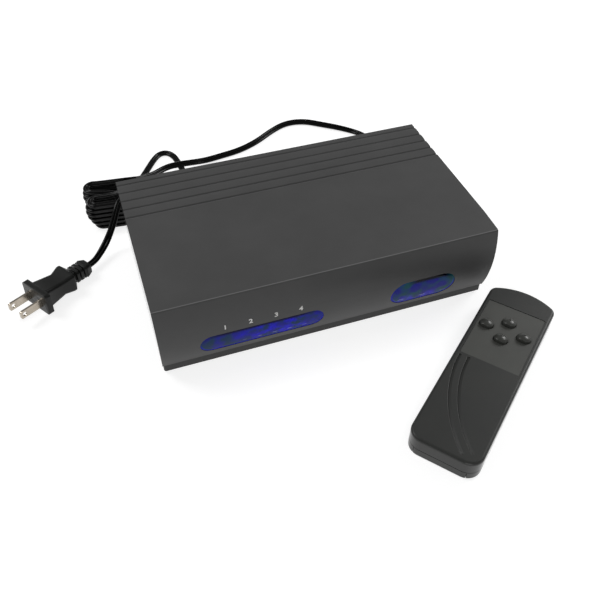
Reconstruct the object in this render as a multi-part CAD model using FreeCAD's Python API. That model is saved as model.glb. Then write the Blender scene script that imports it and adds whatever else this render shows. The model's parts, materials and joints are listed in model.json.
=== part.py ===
import FreeCAD, Part
import math
import os

os.makedirs("parts", exist_ok=True)

# Remote controlled audio and video selector with its mains lead and handset.
# Millimetres. The origin is on the table under the middle of the selector,
# +X to the viewer's right, +Y to the rear, +Z up.

V = FreeCAD.Vector
X = V(1, 0, 0)
Y = V(0, 1, 0)
Z = V(0, 0, 1)

# Selector case
case_width = 235.0
case_depth = 135.0
case_top = 62.4
crease_height = 61.4
front_slope = 18.8
crease_radius = 1.5
front_radius = 80.7
bulge_height = 37.6
case_wall = 2.4
cover_bottom = 8.4
groove_count = 5
groove_first = 5.0
groove_pitch = 9.5
groove_width = 1.6
groove_depth = 0.8
strip_crown = 0.35

# Base tray, its lip and the rubber feet under it
foot_standing = 2.0
foot_radius = 7.0
foot_recess = 0.8
foot_inset_x = 21.5
foot_inset_y = 27.5
tray_inset = 0.6
tray_floor = 2.2
tray_wall = 2.4
tray_corner = 1.5
seam_gap = 0.5
lip_thickness = 1.5
lip_height = 9.8
vent_count = 15
vent_pitch = 6.0
vent_width = 2.5
vent_length = 30.0
vent_from_front = 39.5
post_root = 1.2
ledge_drop = 1.0

# Screws, posts and running gaps
slip = 0.1
loose = 0.3
past = 1.0
fine = 0.01
boss_sink = 0.5
case_screw_inset_x = 10.5
case_screw_inset_y = 13.5
case_screw_radius = 1.5
case_screw_head = 2.9
case_screw_length = 16.0
screw_head_height = 1.8
screw_well = 3.4
screw_seat = 6.5
post_radius = 4.2
post_top = 14.0
small_screw_radius = 1.2
small_screw_head = 2.6
small_screw_length = 6.0
standoff_radius = 3.2
recess_share = 0.6
recess_half = 0.35
recess_depth = 0.6

# Windows in the front
indicator_window_gap = 68.0
indicator_window_z = 22.8
indicator_window_length = 84.5
indicator_window_height = 17.2
receiver_window_gap = 51.8
receiver_window_z = 24.2
receiver_window_length = 48.5
receiver_window_height = 23.0
window_recess = 0.3
window_flange = 2.5
window_flange_thickness = 1.6
window_cut = 34.0

# Rear panel
panel_setback = 2.4
panel_thickness = 2.0
panel_rib = 1.6

# Main board
board_thickness = 1.6
board_height = 10.0
board_left_gap = 18.5
board_right_gap = 45.5
board_depth = 57.1
board_rear_gap = 2.0
board_screw_inset = 6.5
board_screw_back = 16.1

# Rear sockets, five groups, four inputs and one output
group_count = 5
group_first_gap = 33.5
group_pitch = 34.0
din_offset = -8.0
din_width = 14.0
din_height = 13.0
socket_depth = 12.0
din_nose_radius = 6.3
din_nose_proud = 1.3
din_shield_radius = 5.2
din_shield_thickness = 0.3
din_core_radius = 3.6
din_hollow = 9.0
din_pin_x = 1.68
din_pin_z = 1.26
din_pin_drop = 0.3
din_key_half = 1.2
din_key_low = 1.1
din_key_rise = 0.5
din_pin_radius = 0.75
din_pin_bore = 0.45
din_pin_length = 6.0
phono_offset = 7.0
phono_width = 11.0
phono_pitch = 13.5
phono_first = 7.0
phono_tail = 6.0
phono_ear = 5.4
phono_ear_thickness = 4.0
phono_radius = 4.15
phono_wall = 0.7
phono_proud = 8.3
phono_root = 4.5
phono_hole = 0.15
phono_collar_radius = 5.6
phono_collar_thickness = 1.6
phono_pin_bore = 1.6
phono_contact_wall = 0.45
phono_mouth = 0.8
phono_lip = 1.0

# Board behind the windows
display_gap = 21.5
display_setback = 14.7
display_bottom = 9.0
display_top = 41.0
display_post_gap = 31.5
display_post = 6.0
display_post_top = 28.0
led_pitch = 17.0
led_count = 4
led_radius = 2.5
led_rim = 2.9
led_length = 6.8
lamp_rim_thickness = 1.0
receiver_module = 7.0
receiver_module_depth = 5.0
receiver_lens_radius = 2.4
ribbon_width = 14.0
ribbon_thickness = 0.8
ribbon_height = 15.0
ribbon_landing = 2.0

# Transformer
core_gap_x = 25.5
core_gap_y = 71.5
core_stack = 17.0
core_length = 41.0
core_height = 34.0
core_leg = 13.6
core_window = 7.0
core_window_height = 21.0
winding_thickness = 31.0
winding_round = 2.5
pedestal = 3.0
strap_thickness = 1.0
strap_foot = 10.5

# Parts on the main board, set out from its left, right and rear edges
chip_length = 20.0
chip_width = 6.4
chip_height = 3.5
chip_row_back = 43.1
chip_first_gap = 27.0
chip_last_gap = 24.0
chip_standing = 0.5
chip_leg_half = 0.4
chip_count = 4
chip_legs = 8
chip_leg_pitch = 2.54
coupling_radius = 2.5
coupling_height = 7.0
coupling_count = 9
coupling_first_gap = 21.0
coupling_last_gap = 19.0
coupling_back = 29.1
reservoir_radius = 8.0
reservoir_height = 25.0
reservoir_round = 1.0
reservoir_gap = 14.0
reservoir_back = 27.1
sink_gap = 35.0
sink_back = 25.1
sink_width = 22.0
sink_depth = 10.0
sink_height = 26.0
sink_wall = 2.0
sink_fins = 4
regulator_width = 10.0
regulator_depth = 4.5
regulator_height = 15.0
regulator_standing = 4.0
regulator_tab = 1.3
regulator_body = 9.0
regulator_leg_far = 2.7
regulator_leg_near = 2.1
regulator_leg_half = 0.4
crystal_gap = 30.0
crystal_back = 39.1
crystal_length = 11.0
crystal_width = 4.6
crystal_height = 3.8
fuse_gap = 26.0
fuse_back = 49.1
fuse_length = 20.0
fuse_radius = 2.5
fuse_height = 6.0
fuse_cap_step = 0.25
clip_width = 5.0
clip_wall = 0.8
clip_rise = 1.5
clip_lip = 0.4
diode_gap = 10.0
diode_back = 41.8
diode_pitch = 3.4
diode_radius = 1.3
diode_length = 5.0
diode_height = 2.6
diode_lead = 1.6
lead_radius = 0.4
wire_radius = 0.9
landing_inset = 3.0
landing_back = 35.1
landing_half = 4.0
core_half = 1.6

# Mains lead: flat twin flex, drawn as a round tube of about its section
flex_radius = 1.67
flex_rest = 2.0
hank_rest = 2.7
bush_gap = 17.5
bush_z = 20.0
bush_neck = 5.4
bush_flange = 7.5
bush_flange_thickness = 1.8
bush_sleeve = 24.0
bush_root = 5.0
bush_tip = 3.2
bush_inner = 4.0
bush_collar_step = 0.6

# Folded hank: two piles of long loops that splay apart towards their left ends
hank_run = 33.0
hank_fold = 5.4
hank_layer = 4.15
hank_sway = 1.2
hank_sway_turn = 2.4
climb_start = -12.0
climb_end = 14.0
crossing_shift = 3.8
crossing_room = 1.8
crossing_end = 13.5
rear_pile_x = -118.0
rear_pile_y = 120.2
rear_pile_turn = -17.0
rear_pile_reach = [0.3, 2.2, 2.8, 2.2, 1.1]
front_pile_x = -116.6
front_pile_y = 99.5
front_pile_turn = -6.0
front_pile_reach = [-1.1, 1.2, 2.9, 3.4, 2.9, 0.9, 0.2]
hank_start = -4.0
hank_lead_in = 7.0
stray_start = 5.5
hank_end = 10.0
tie_x = -108.5
tie_y = 106.5
tie_turn = -12.0
tie_front_low = 15.8
tie_rear_low = 19.0
tie_front_half = 17.2
tie_rear_half = 19.0
tie_rear_top = 17.5
tie_front_top = 30.6
tie_ridge = -0.3
tie_width = 4.0
tie_thickness = 0.6

# Mains plug
plug_x = -190.5
plug_y = 23.3
plug_turn = 33.5
plug_pitch = 3.9
plug_flange_width = 26.0
plug_flange_height = 17.8
plug_flange_thickness = 4.3
plug_flange_corner = 2.2
plug_root_width = 17.6
plug_root_height = 16.4
plug_overlap = 0.5
plug_waist = 19.6
plug_waist_width = 15.2
plug_waist_height = 12.4
plug_hump = 26.4
plug_hump_length = 2.0
plug_hump_width = 18.4
plug_hump_height = 15.0
plug_hump_rise = 0.6
plug_neck = 31.6
plug_neck_width = 10.4
plug_neck_height = 9.6
plug_corner = 2.4
plug_rib_count = 3
plug_rib_pitch = 3.5
plug_rib_width = 2.1
plug_rib_size = 11.6
plug_rib_height = 10.4
plug_core = 3.4
plug_core_corner = 1.5
plug_end_length = 4.4
plug_end_width = 12.4
plug_end_height = 11.0
plug_tip_width = 9.6
plug_tip_height = 8.8
blade_spacing = 12.7
blade_width = 6.35
blade_thickness = 1.5
blade_length = 17.5
blade_hole = 1.6
blade_hole_back = 3.3
blade_root = 8.0
blade_corner = 1.2

# Handset
remote_x = 79.8
remote_y = -138.1
remote_turn = 39.7
remote_length = 149.5
remote_width = 46.0
remote_height = 16.6
remote_seam = 6.4
remote_seam_gap = 0.45
remote_wall = 1.8
remote_ceiling = 2.1
remote_floor = 2.1
remote_near_corner = 9.5
remote_far_corner = 6.0
remote_arch = 7.0
remote_top_round = 2.0
remote_base_round = 1.2
keypad_x = 28.0
keypad_length = 54.2
keypad_width = 39.6
keypad_corner = 1.0
keypad_sunk = 0.3
keypad_thickness = 0.9
button_x = 32.2
button_y = 0.6
button_step_x = 8.2
button_step_y = 12.9
button_length = 9.4
button_width = 7.0
button_rise = 3.2
button_gap = 0.35
button_rim = 1.0
button_rim_thickness = 1.0
button_stem = 1.2
button_stem_radius = 2.33
button_dome = 6.5
button_lean = 0.5
button_edge = 0.6
button_pip_radius = 0.9
button_pip_x = 0.9
button_pip_rise = 0.5
button_travel = 1.0
hand_groove_width = 1.8
hand_groove_depth = 0.7
hand_groove_edge = 0.4
outer_hand_groove = [(-1.2, 18.4), (-42.0, 9.0), (-70.0, -11.0)]
inner_hand_groove = [(-1.0, 12.6), (-35.5, 5.6), (-67.0, -16.4)]
remote_board_left = -16.0
remote_board_right = 62.0
remote_board_width = 36.0
remote_board_thickness = 1.2
remote_board_height = 6.6
remote_post_radius = 2.6
remote_post_x = 8.0
remote_post_far = 58.0
remote_post_y = 14.0
membrane_thickness = 0.8
membrane_inset = 2.5
membrane_start = 6.0
membrane_corner = 1.0
membrane_dome = 2.4
emitter_radius = 2.5
emitter_rim = 2.9
emitter_length = 8.6
emitter_proud = 1.2
emitter_drop = 1.0
cell_radius = 5.2
cell_length = 44.0
cell_x = -46.5
cell_y = 9.0
cell_nub_radius = 1.9
cell_nub = 0.8
spring_plate = 0.5
contact_half = 4.0
contact_low = 3.5
contact_high = 4.0
hatch_right = -21.0
hatch_width = 31.0
hatch_tongue = 1.2
hatch_skin = 1.0
divider_gap = 1.2
divider_thickness = 1.6
divider_drop = 0.5
remote_screw_x = -6.0
remote_screw_far = 52.0
remote_screw_radius = 1.2
remote_screw_head = 2.3
remote_screw_length = 7.0
remote_screw_seat = 0.6
remote_screw_well = 1.6

# Places worked out from the sizes above
side_x = case_width / 2
back_y = case_depth / 2
crease_y = -case_depth / 2
slope_y = crease_y + front_slope
front_centre_y = crease_y + math.sqrt(front_radius ** 2 - (crease_height - bulge_height) ** 2)
tray_bottom = foot_standing
floor_top = tray_bottom + tray_floor
root_z = floor_top - post_root
foot_x = side_x - foot_inset_x
foot_y = back_y - foot_inset_y
vent_y = crease_y + vent_from_front
case_screw_x = side_x - case_screw_inset_x
case_screw_y = back_y - case_screw_inset_y
panel_rear = back_y - panel_setback
panel_front = panel_rear - panel_thickness
board_top = board_height + board_thickness
board_rear = panel_front - board_rear_gap
board_front = board_rear - board_depth
board_left = board_left_gap - side_x
board_right = side_x - board_right_gap
group_x = [group_first_gap - side_x + group_pitch * i for i in range(group_count)]
phono_rows = [board_top + phono_first + phono_pitch * i for i in range(3)]
phono_top = phono_rows[-1] + phono_tail
din_z = board_top + din_height / 2
core_bottom = floor_top + pedestal
core_middle = core_bottom + core_height / 2
core_x = side_x - core_gap_x
core_y = back_y - core_gap_y
display_y = front_centre_y - front_radius + display_setback
display_half = side_x - display_gap
indicator_window_x = indicator_window_gap - side_x
receiver_window_x = side_x - receiver_window_gap
bush_x = side_x - bush_gap
chip_row_y = board_rear - chip_row_back
coupling_y = board_rear - coupling_back
reservoir_x = board_right - reservoir_gap
reservoir_y = board_rear - reservoir_back
sink_x = board_right - sink_gap
sink_y = board_rear - sink_back
crystal_x = board_right - crystal_gap
crystal_y = board_rear - crystal_back
fuse_x = board_right - fuse_gap
fuse_y = board_rear - fuse_back
diode_x = board_right - diode_gap
diode_y = board_rear - diode_back
chip_first_x = board_left + chip_first_gap
chip_pitch = (crystal_x - chip_last_gap - chip_first_x) / (chip_count - 1)
coupling_first_x = board_left + coupling_first_gap
coupling_pitch = (sink_x - coupling_last_gap - coupling_first_x) / (coupling_count - 1)


# Small shape helpers

def box(x0, x1, y0, y1, z0, z1):
    return Part.makeBox(x1 - x0, y1 - y0, z1 - z0, V(x0, y0, z0))


def rod(radius, start, axis, length):
    return Part.makeCylinder(radius, length, start, axis)


def pipe(outer, inner, start, axis, length):
    return rod(outer, start, axis, length).cut(rod(inner, start, axis, length))


def join(shapes):
    whole = shapes[0]
    for shape in shapes[1:]:
        whole = whole.fuse(shape)
    return whole.removeSplitter()


def cut_all(shape, tools):
    for tool in tools:
        shape = shape.cut(tool)
    return shape


def group(shapes):
    return Part.makeCompound(shapes)


def turned(shape, angle, centre):
    """The shape turned about a vertical line through the origin, then moved to its centre."""
    moved = shape.copy()
    moved.rotate(V(0, 0, 0), Z, angle)
    moved.translate(centre)
    return moved


def corner_arc(before, corner, after, radius):
    """Start, middle and end of the arc that rounds a corner with a radius."""
    back = (before - corner).normalize()
    ahead = (after - corner).normalize()
    half = back.getAngle(ahead) / 2
    bisector = (back + ahead).normalize()
    centre = corner + bisector * (radius / math.sin(half))
    reach = radius / math.tan(half)
    return corner + back * reach, centre - bisector * radius, corner + ahead * reach


def rounded_wire(points, radii):
    """A closed flat outline whose corners have the given radii."""
    edges = []
    count = len(points)
    ends = []
    for i in range(count):
        if radii[i] > 0:
            ends.append(corner_arc(points[i - 1], points[i], points[(i + 1) % count], radii[i]))
        else:
            ends.append((points[i], None, points[i]))
    for i in range(count):
        start, middle, end = ends[i]
        if middle is not None:
            edges.append(Part.Arc(start, middle, end).toShape())
        edges.append(Part.makeLine(end, ends[(i + 1) % count][0]))
    return Part.Wire(edges)


def rounded_plate(x0, x1, y0, y1, z0, z1, radius):
    corners = [V(x0, y0, z0), V(x1, y0, z0), V(x1, y1, z0), V(x0, y1, z0)]
    return Part.Face(rounded_wire(corners, [radius] * 4)).extrude(Z * (z1 - z0))


def stadium(centre, along, across, length, height, sweep):
    """A slot-shaped prism: two straights joined by half circles."""
    radius = height / 2
    half = along * (length / 2 - radius)
    up = across * radius
    tip = along * (length / 2)
    edges = [
        Part.makeLine(centre - half + up, centre + half + up),
        Part.Arc(centre + half + up, centre + tip, centre + half - up).toShape(),
        Part.makeLine(centre + half - up, centre - half - up),
        Part.Arc(centre - half - up, centre - tip, centre - half + up).toShape(),
    ]
    return Part.Face(Part.Wire(edges)).extrude(sweep)


def sweep_round(edges, radius):
    """A round tube along tangent edges."""
    path = Part.Wire(edges)
    start = path.Edges[0].valueAt(path.Edges[0].FirstParameter)
    heading = path.Edges[0].tangentAt(path.Edges[0].FirstParameter)
    section = Part.Wire([Part.makeCircle(radius, start, heading)])
    return path.makePipeShell([section], True, False)


def route_edges(points, name):
    """Straight runs joined by tangent arcs, each as large as its two runs allow."""
    edges = []
    radii = []
    start = points[0]
    for before, corner, after in zip(points, points[1:], points[2:]):
        shorter = min((corner - before).Length, (after - corner).Length)
        turn = (corner - before).getAngle(after - corner)
        radius = 0.45 * shorter / math.tan(turn / 2)
        radii.append(radius)
        arc_start, arc_middle, arc_end = corner_arc(before, corner, after, radius)
        edges.append(Part.makeLine(start, arc_start))
        edges.append(Part.Arc(arc_start, arc_middle, arc_end).toShape())
        start = arc_end
    edges.append(Part.makeLine(start, points[-1]))
    print(name, "radii", [round(radius) for radius in radii])
    return edges


def report_tube(name, edges, solid, radius):
    length = sum(edge.Length for edge in edges)
    expected = math.pi * radius ** 2 * length
    print(name, "length", round(length), "volume share", round(solid.Volume / expected, 3))


def least_gap(edges, radius):
    """Least gap of a tube to itself, measured between points one millimetre apart."""
    points = Part.Wire(edges).discretize(Distance=1.0)
    skip = int(6 * radius)
    least = min((points[i] - points[j]).Length
                for i in range(len(points)) for j in range(i + skip, len(points)))
    return least - 2 * radius


def tangent_arc(start, leaving, end):
    """The arc from a start with a given heading to an end."""
    chord = end - start
    lean = chord.getAngle(leaving)
    side = leaving - chord * (leaving.dot(chord) / chord.dot(chord))
    middle = start + chord * 0.5 + side.normalize() * (chord.Length / 2 * math.tan(lean / 2))
    return Part.Arc(start, middle, end).toShape()


def biarc(start, leaving, end, arriving):
    """Two tangent arcs between two places whose headings are both given."""
    chord = end - start
    total = leaving + arriving
    spread = 2 * (1 - leaving.dot(arriving))
    along = chord.dot(total)
    if spread > 1e-6:
        reach = (math.sqrt(along ** 2 + spread * chord.dot(chord)) - along) / spread
    else:
        reach = chord.dot(chord) / (2 * along)
    middle = (start + end + (leaving - arriving) * reach) * 0.5
    second = tangent_arc(end, arriving * -1, middle)
    return [tangent_arc(start, leaving, middle), second]


def save(name, shape):
    shape.exportStep("parts/" + name + ".step")


# Selector case

def front_y(height, inset=0.0):
    """Place of the bulged front at a height, moved inwards by an inset."""
    return front_centre_y - math.sqrt((front_radius - inset) ** 2 - (height - bulge_height) ** 2)


def front_arc(low, high, inset):
    middle = (low + high) / 2
    return Part.Arc(V(0, front_y(high, inset), high), V(0, front_y(middle, inset), middle),
                    V(0, front_y(low, inset), low)).toShape()


def cover_outside():
    """Side profile of the cover, with crowned strips between the grooves, drawn out to the width."""
    edges = []
    strip = case_top - strip_crown
    here = V(0, back_y, cover_bottom)
    there = V(0, back_y, strip)
    edges.append(Part.makeLine(here, there))
    here = there
    for i in range(groove_count):
        middle = back_y - groove_first - groove_pitch * i
        near = V(0, middle + groove_width / 2, strip)
        if i == 0:
            edges.append(Part.makeLine(here, near))
        else:
            crown = V(0, (here.y + near.y) / 2, case_top)
            edges.append(Part.Arc(here, crown, near).toShape())
        bottom = V(0, middle, strip - groove_depth)
        here = V(0, middle - groove_width / 2, strip)
        edges.append(Part.makeLine(near, bottom))
        edges.append(Part.makeLine(bottom, here))
    flat = V(0, here.y - groove_width, case_top)
    edges.append(Part.makeLine(here, flat))
    slope = V(0, slope_y, case_top)
    edges.append(Part.makeLine(flat, slope))
    crease = V(0, crease_y, crease_height)
    edges.append(Part.makeLine(slope, crease))
    edges.append(front_arc(cover_bottom, crease_height, 0.0))
    edges.append(Part.makeLine(V(0, front_y(cover_bottom), cover_bottom), V(0, back_y, cover_bottom)))
    solid = Part.Face(Part.Wire(edges)).extrude(X * case_width)
    solid.translate(X * (-case_width / 2))
    ridge = [edge for edge in solid.Edges
             if all(abs(v.Y - crease_y) < fine and abs(v.Z - crease_height) < fine for v in edge.Vertexes)]
    return solid.makeFillet(crease_radius, ridge)


def cover_inside():
    """The room inside the cover, open to the rear and below."""
    below = cover_bottom - past
    behind = back_y + past
    ceiling = case_top - case_wall
    shoulder = crease_height - case_wall
    edges = [
        Part.makeLine(V(0, behind, below), V(0, behind, ceiling)),
        Part.makeLine(V(0, behind, ceiling), V(0, slope_y, ceiling)),
        Part.makeLine(V(0, slope_y, ceiling), V(0, front_y(shoulder, case_wall), shoulder)),
        front_arc(below, shoulder, case_wall),
        Part.makeLine(V(0, front_y(below, case_wall), below), V(0, behind, below)),
    ]
    width = case_width - 2 * case_wall
    solid = Part.Face(Part.Wire(edges)).extrude(X * width)
    solid.translate(X * (-width / 2))
    return solid


def front_shell(outer_inset, inner_inset):
    """A curved sheet that follows the front between two insets."""
    start = V(-case_width / 2, front_centre_y, bulge_height)
    return pipe(front_radius - outer_inset, front_radius - inner_inset, start, X, case_width)


def window_prism(x, z, length, height, growth):
    start = V(x, front_y(bulge_height) - past, z)
    return stadium(start, X, Z, length + 2 * growth, height + 2 * growth, Y * window_cut)


def window(x, z, length, height):
    """A clear pane in the opening, with a flange glued behind the wall."""
    back = case_wall + slip
    pane = window_prism(x, z, length, height, -slip).common(front_shell(window_recess, back + slip))
    flange = window_prism(x, z, length, height, window_flange)
    flange = flange.common(front_shell(back, back + window_flange_thickness))
    return join([pane, flange])


def case_screw_places():
    return [V(sx * case_screw_x, sy * case_screw_y, 0) for sx in (-1, 1) for sy in (-1, 1)]


def top_cover():
    solid = cover_outside().cut(cover_inside())
    half = case_width / 2 - case_wall / 2
    ceiling = case_top - case_wall
    before = panel_front - slip - panel_rib
    behind = panel_rear + slip
    ribs = [box(-half, half, start, start + panel_rib, ceiling - panel_rib, ceiling + past)
            for start in (before, behind)]
    bosses = [rod(post_radius, place + Z * post_top, Z, ceiling + boss_sink - post_top)
              for place in case_screw_places()]
    solid = join([solid] + ribs + bosses)
    pilots = [rod(case_screw_radius + slip / 2, place + Z * (post_top - past), Z, case_screw_length)
              for place in case_screw_places()]
    panes = [
        window_prism(indicator_window_x, indicator_window_z, indicator_window_length,
                     indicator_window_height, 0),
        window_prism(receiver_window_x, receiver_window_z, receiver_window_length,
                     receiver_window_height, 0),
    ]
    walls = front_shell(-past, case_wall + past)
    return cut_all(solid, pilots + [pane.common(walls) for pane in panes])


def board_screw_places():
    xs = [board_left + board_screw_inset, board_right - board_screw_inset]
    ys = [board_front + board_screw_inset, board_rear - board_screw_back]
    return [V(x, y, 0) for x in xs for y in ys]


def transformer_screw_places():
    reach = core_length / 2 + strap_thickness + strap_foot / 2
    return [V(core_x, core_y + side * reach, 0) for side in (-1, 1)]


def base_tray():
    half = case_width / 2 - tray_inset
    front = front_y(cover_bottom) + tray_inset
    rear = back_y - tray_inset
    top = cover_bottom - seam_gap
    body = rounded_plate(-half, half, front, rear, tray_bottom, top, tray_corner)
    hollow = box(-half + tray_wall, half - tray_wall, front + tray_wall, panel_rear + slip, floor_top,
                 top + past)
    body = body.cut(hollow)
    side = case_width / 2 - case_wall - slip
    lip_front = front_y(cover_bottom, case_wall) + slip
    lip_rear = panel_front - slip
    lip = box(-side, side, lip_front, lip_rear, root_z, lip_height)
    lip = lip.cut(box(-side + lip_thickness, side - lip_thickness, lip_front + lip_thickness,
                      lip_rear + past, 0, lip_height + past))
    panel_ledge = box(-side, side, lip_rear - panel_rib, lip_rear, root_z, board_height - ledge_drop)
    posts = [rod(post_radius, place + Z * root_z, Z, post_top - root_z)
             for place in case_screw_places()]
    standoffs = [rod(standoff_radius, place + Z * root_z, Z, board_height - root_z)
                 for place in board_screw_places()]
    bosses = [rod(standoff_radius, place + Z * root_z, Z, core_bottom - root_z)
              for place in transformer_screw_places()]
    stand = box(core_x - core_stack / 2, core_x + core_stack / 2, core_y - core_length / 2,
                core_y + core_length / 2, root_z, core_bottom)
    holders = []
    for sx in (-1, 1):
        x = sx * (side_x - display_post_gap)
        middle = display_y - board_thickness / 2
        post = box(x - display_post / 2, x + display_post / 2, middle - display_post / 2,
                   middle + display_post / 2, root_z, display_post_top)
        slot = box(x - display_post, x + display_post, display_y - board_thickness - slip,
                   display_y + slip, display_bottom, display_post_top + past)
        holders.append(post.cut(slot))
    body = join([body, lip, panel_ledge, stand] + posts + standoffs + bosses + holders)
    cuts = [box(-side - slip, side + slip, panel_front - slip, panel_rear + slip, floor_top, top + past)]
    for place in case_screw_places():
        cuts.append(rod(case_screw_radius + 2 * slip, place, Z, post_top + past))
        cuts.append(rod(screw_well, place, Z, screw_seat))
    for place in board_screw_places():
        cuts.append(rod(small_screw_radius + slip / 2, place + Z * floor_top, Z, board_height))
    for place in transformer_screw_places():
        cuts.append(rod(small_screw_radius + slip / 2, place + Z * root_z, Z, core_bottom))
    for sx in (-1, 1):
        for sy in (-1, 1):
            cuts.append(rod(foot_radius + slip, V(sx * foot_x, sy * foot_y, 0), Z, tray_bottom + foot_recess))
    for i in range(vent_count):
        x = (i - (vent_count - 1) / 2) * vent_pitch
        start = V(x, vent_y, tray_bottom - past)
        cuts.append(stadium(start, Y, X, vent_length, vent_width, Z * (tray_floor + 2 * past)))
    return cut_all(body, cuts)


def rubber_feet():
    return group([rod(foot_radius, V(sx * foot_x, sy * foot_y, 0), Z, tray_bottom + foot_recess)
                  for sx in (-1, 1) for sy in (-1, 1)])


def screw(place, axis, radius, head, head_height, length):
    """A pan head whose seat is at place, with its shank along the axis."""
    shank = rod(radius, place, axis, length)
    cap = rod(head, place - axis * head_height, axis, head_height)
    reach = head * recess_share
    cross = [box(-reach, reach, -recess_half, recess_half, -recess_depth, recess_depth),
             box(-recess_half, recess_half, -reach, reach, -recess_depth, recess_depth)]
    recess = join(cross)
    recess.Placement = FreeCAD.Placement(place - axis * head_height, FreeCAD.Rotation(Z, axis))
    return join([shank, cap]).cut(recess)


def case_screws():
    return group([screw(place + Z * screw_seat, Z, case_screw_radius, case_screw_head,
                        screw_head_height, case_screw_length) for place in case_screw_places()])


# Rear panel and its sockets

def rear_panel():
    side = case_width / 2 - case_wall - slip
    plate = box(-side, side, panel_front, panel_rear, floor_top + slip, case_top - case_wall - slip)
    start = panel_front - past
    through = panel_thickness + 2 * past
    holes = [rod(bush_neck + slip, V(bush_x, start, bush_z), Y, through)]
    for x in group_x:
        holes.append(rod(din_nose_radius + 2 * slip, V(x + din_offset, start, din_z), Y, through))
        ear = V(x + phono_offset, start, ear_screw_z())
        holes.append(rod(small_screw_radius + 2 * slip, ear, Y, through))
        for z in phono_rows:
            holes.append(rod(phono_root + phono_hole, V(x + phono_offset, start, z), Y, through))
    return cut_all(plate, holes)


def ear_screw_z():
    return phono_top + phono_ear / 2


def din_socket(x):
    """Moulded four-pin round socket with the ring-shaped gap that takes the plug's shell."""
    centre = x + din_offset
    front = panel_rear + din_nose_proud
    block = box(centre - din_width / 2, centre + din_width / 2, panel_front - socket_depth, panel_front,
                board_top, board_top + din_height)
    nose = rod(din_nose_radius, V(centre, panel_front - past, din_z), Y, front - panel_front + past)
    body = join([block, nose])
    ring = pipe(din_shield_radius, din_core_radius, V(centre, front - din_hollow, din_z), Y,
                din_hollow + past)
    body = body.cut(ring)
    key = box(centre - din_key_half, centre + din_key_half, front - din_hollow, front + past,
              din_z + din_core_radius - din_key_low, din_z + din_core_radius + din_key_rise)
    body = body.cut(key)
    return cut_all(body, [rod(din_pin_radius + slip / 2, place, Y, din_pin_length + past)
                          for place in din_pin_places(x)])


def din_pin_places(x):
    start = panel_rear + din_nose_proud - din_pin_length
    return [V(x + din_offset + sx * din_pin_x, start, din_z + sz * din_pin_z - din_pin_drop)
            for sx in (-1, 1) for sz in (-1, 1)]


def din_shield(x):
    front = panel_rear + din_nose_proud
    return pipe(din_shield_radius - slip / 2, din_shield_radius - din_shield_thickness,
                V(x + din_offset, front - din_hollow, din_z), Y, din_hollow)


def din_contacts(x):
    return [pipe(din_pin_radius, din_pin_bore, place, Y, din_pin_length - phono_mouth)
            for place in din_pin_places(x)]


def phono_block(x):
    """Housing of three phono sockets, one above the other, with an ear for its screw."""
    centre = x + phono_offset
    half = phono_width / 2
    body = box(centre - half, centre + half, panel_front - socket_depth, panel_front, board_top, phono_top)
    ear = box(centre - half, centre + half, panel_front - phono_ear_thickness, panel_front,
              phono_top - past, phono_top + phono_ear)
    body = join([body, ear])
    screw_start = V(centre, panel_front - phono_ear_thickness - past, ear_screw_z())
    cuts = [rod(small_screw_radius + slip / 2, screw_start, Y, phono_ear_thickness + 2 * past)]
    for z in phono_rows:
        contact_start = V(centre, panel_front - socket_depth / 2, z)
        cuts.append(rod(phono_contact_radius() + slip, contact_start, Y, socket_depth))
    return cut_all(body, cuts)


def phono_contact_radius():
    return phono_pin_bore + phono_contact_wall


def phono_shell(x, z):
    """Plated barrel that the plug's collar grips, on a thicker root inside the coloured collar."""
    start = V(x + phono_offset, panel_front, z)
    barrel = rod(phono_radius, start, Y, panel_thickness + phono_proud)
    root = rod(phono_root, start, Y, panel_thickness + phono_collar_thickness)
    bore = rod(phono_radius - phono_wall, start, Y, panel_thickness + phono_proud)
    return barrel.fuse(root).cut(bore)


def phono_ring(x, z):
    """Coloured collar on the panel and the coloured insulator inside the barrel."""
    centre = x + phono_offset
    collar = pipe(phono_collar_radius, phono_root + slip, V(centre, panel_rear, z), Y, phono_collar_thickness)
    inside = phono_radius - phono_wall - slip / 2
    length = panel_thickness + phono_proud - phono_mouth
    insulator = rod(inside, V(centre, panel_front, z), Y, length)
    insulator = insulator.cut(rod(phono_contact_radius() + slip / 2, V(centre, panel_front - past, z), Y,
                                  length + past - phono_lip))
    insulator = insulator.cut(rod(phono_pin_bore + slip, V(centre, panel_front, z), Y, length + past))
    return [collar, insulator]


def phono_contact(x, z):
    start = panel_front - socket_depth / 2 + slip
    length = socket_depth / 2 + panel_thickness + phono_proud - phono_mouth - phono_lip - 2 * slip
    return pipe(phono_contact_radius(), phono_pin_bore, V(x + phono_offset, start, z), Y, length)


def jack_screws():
    return group([screw(V(x + phono_offset, panel_rear, ear_screw_z()), -Y, small_screw_radius,
                        small_screw_head, screw_head_height, small_screw_length - slip) for x in group_x])


# Boards and what stands on them

def main_board():
    plate = box(board_left, board_right, board_front, board_rear, board_height, board_top)
    return cut_all(plate, [rod(small_screw_radius + 2 * slip, place, Z, board_top + past)
                           for place in board_screw_places()])


def board_screws():
    return group([screw(place + Z * board_top, -Z, small_screw_radius, small_screw_head,
                        screw_head_height, small_screw_length) for place in board_screw_places()])


def display_board():
    return box(-display_half, display_half, display_y - board_thickness, display_y, display_bottom,
               display_top)


def led_places():
    first = indicator_window_x - led_pitch * (led_count - 1) / 2
    return [first + led_pitch * i for i in range(led_count)]


def lamp(start, axis, radius, rim, length):
    """Domed lamp body: a rim, a barrel and a round nose."""
    barrel = rod(radius, start, axis, length - radius)
    nose = Part.makeSphere(radius, start + axis * (length - radius))
    return join([rod(rim, start, axis, lamp_rim_thickness), barrel, nose])


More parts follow.
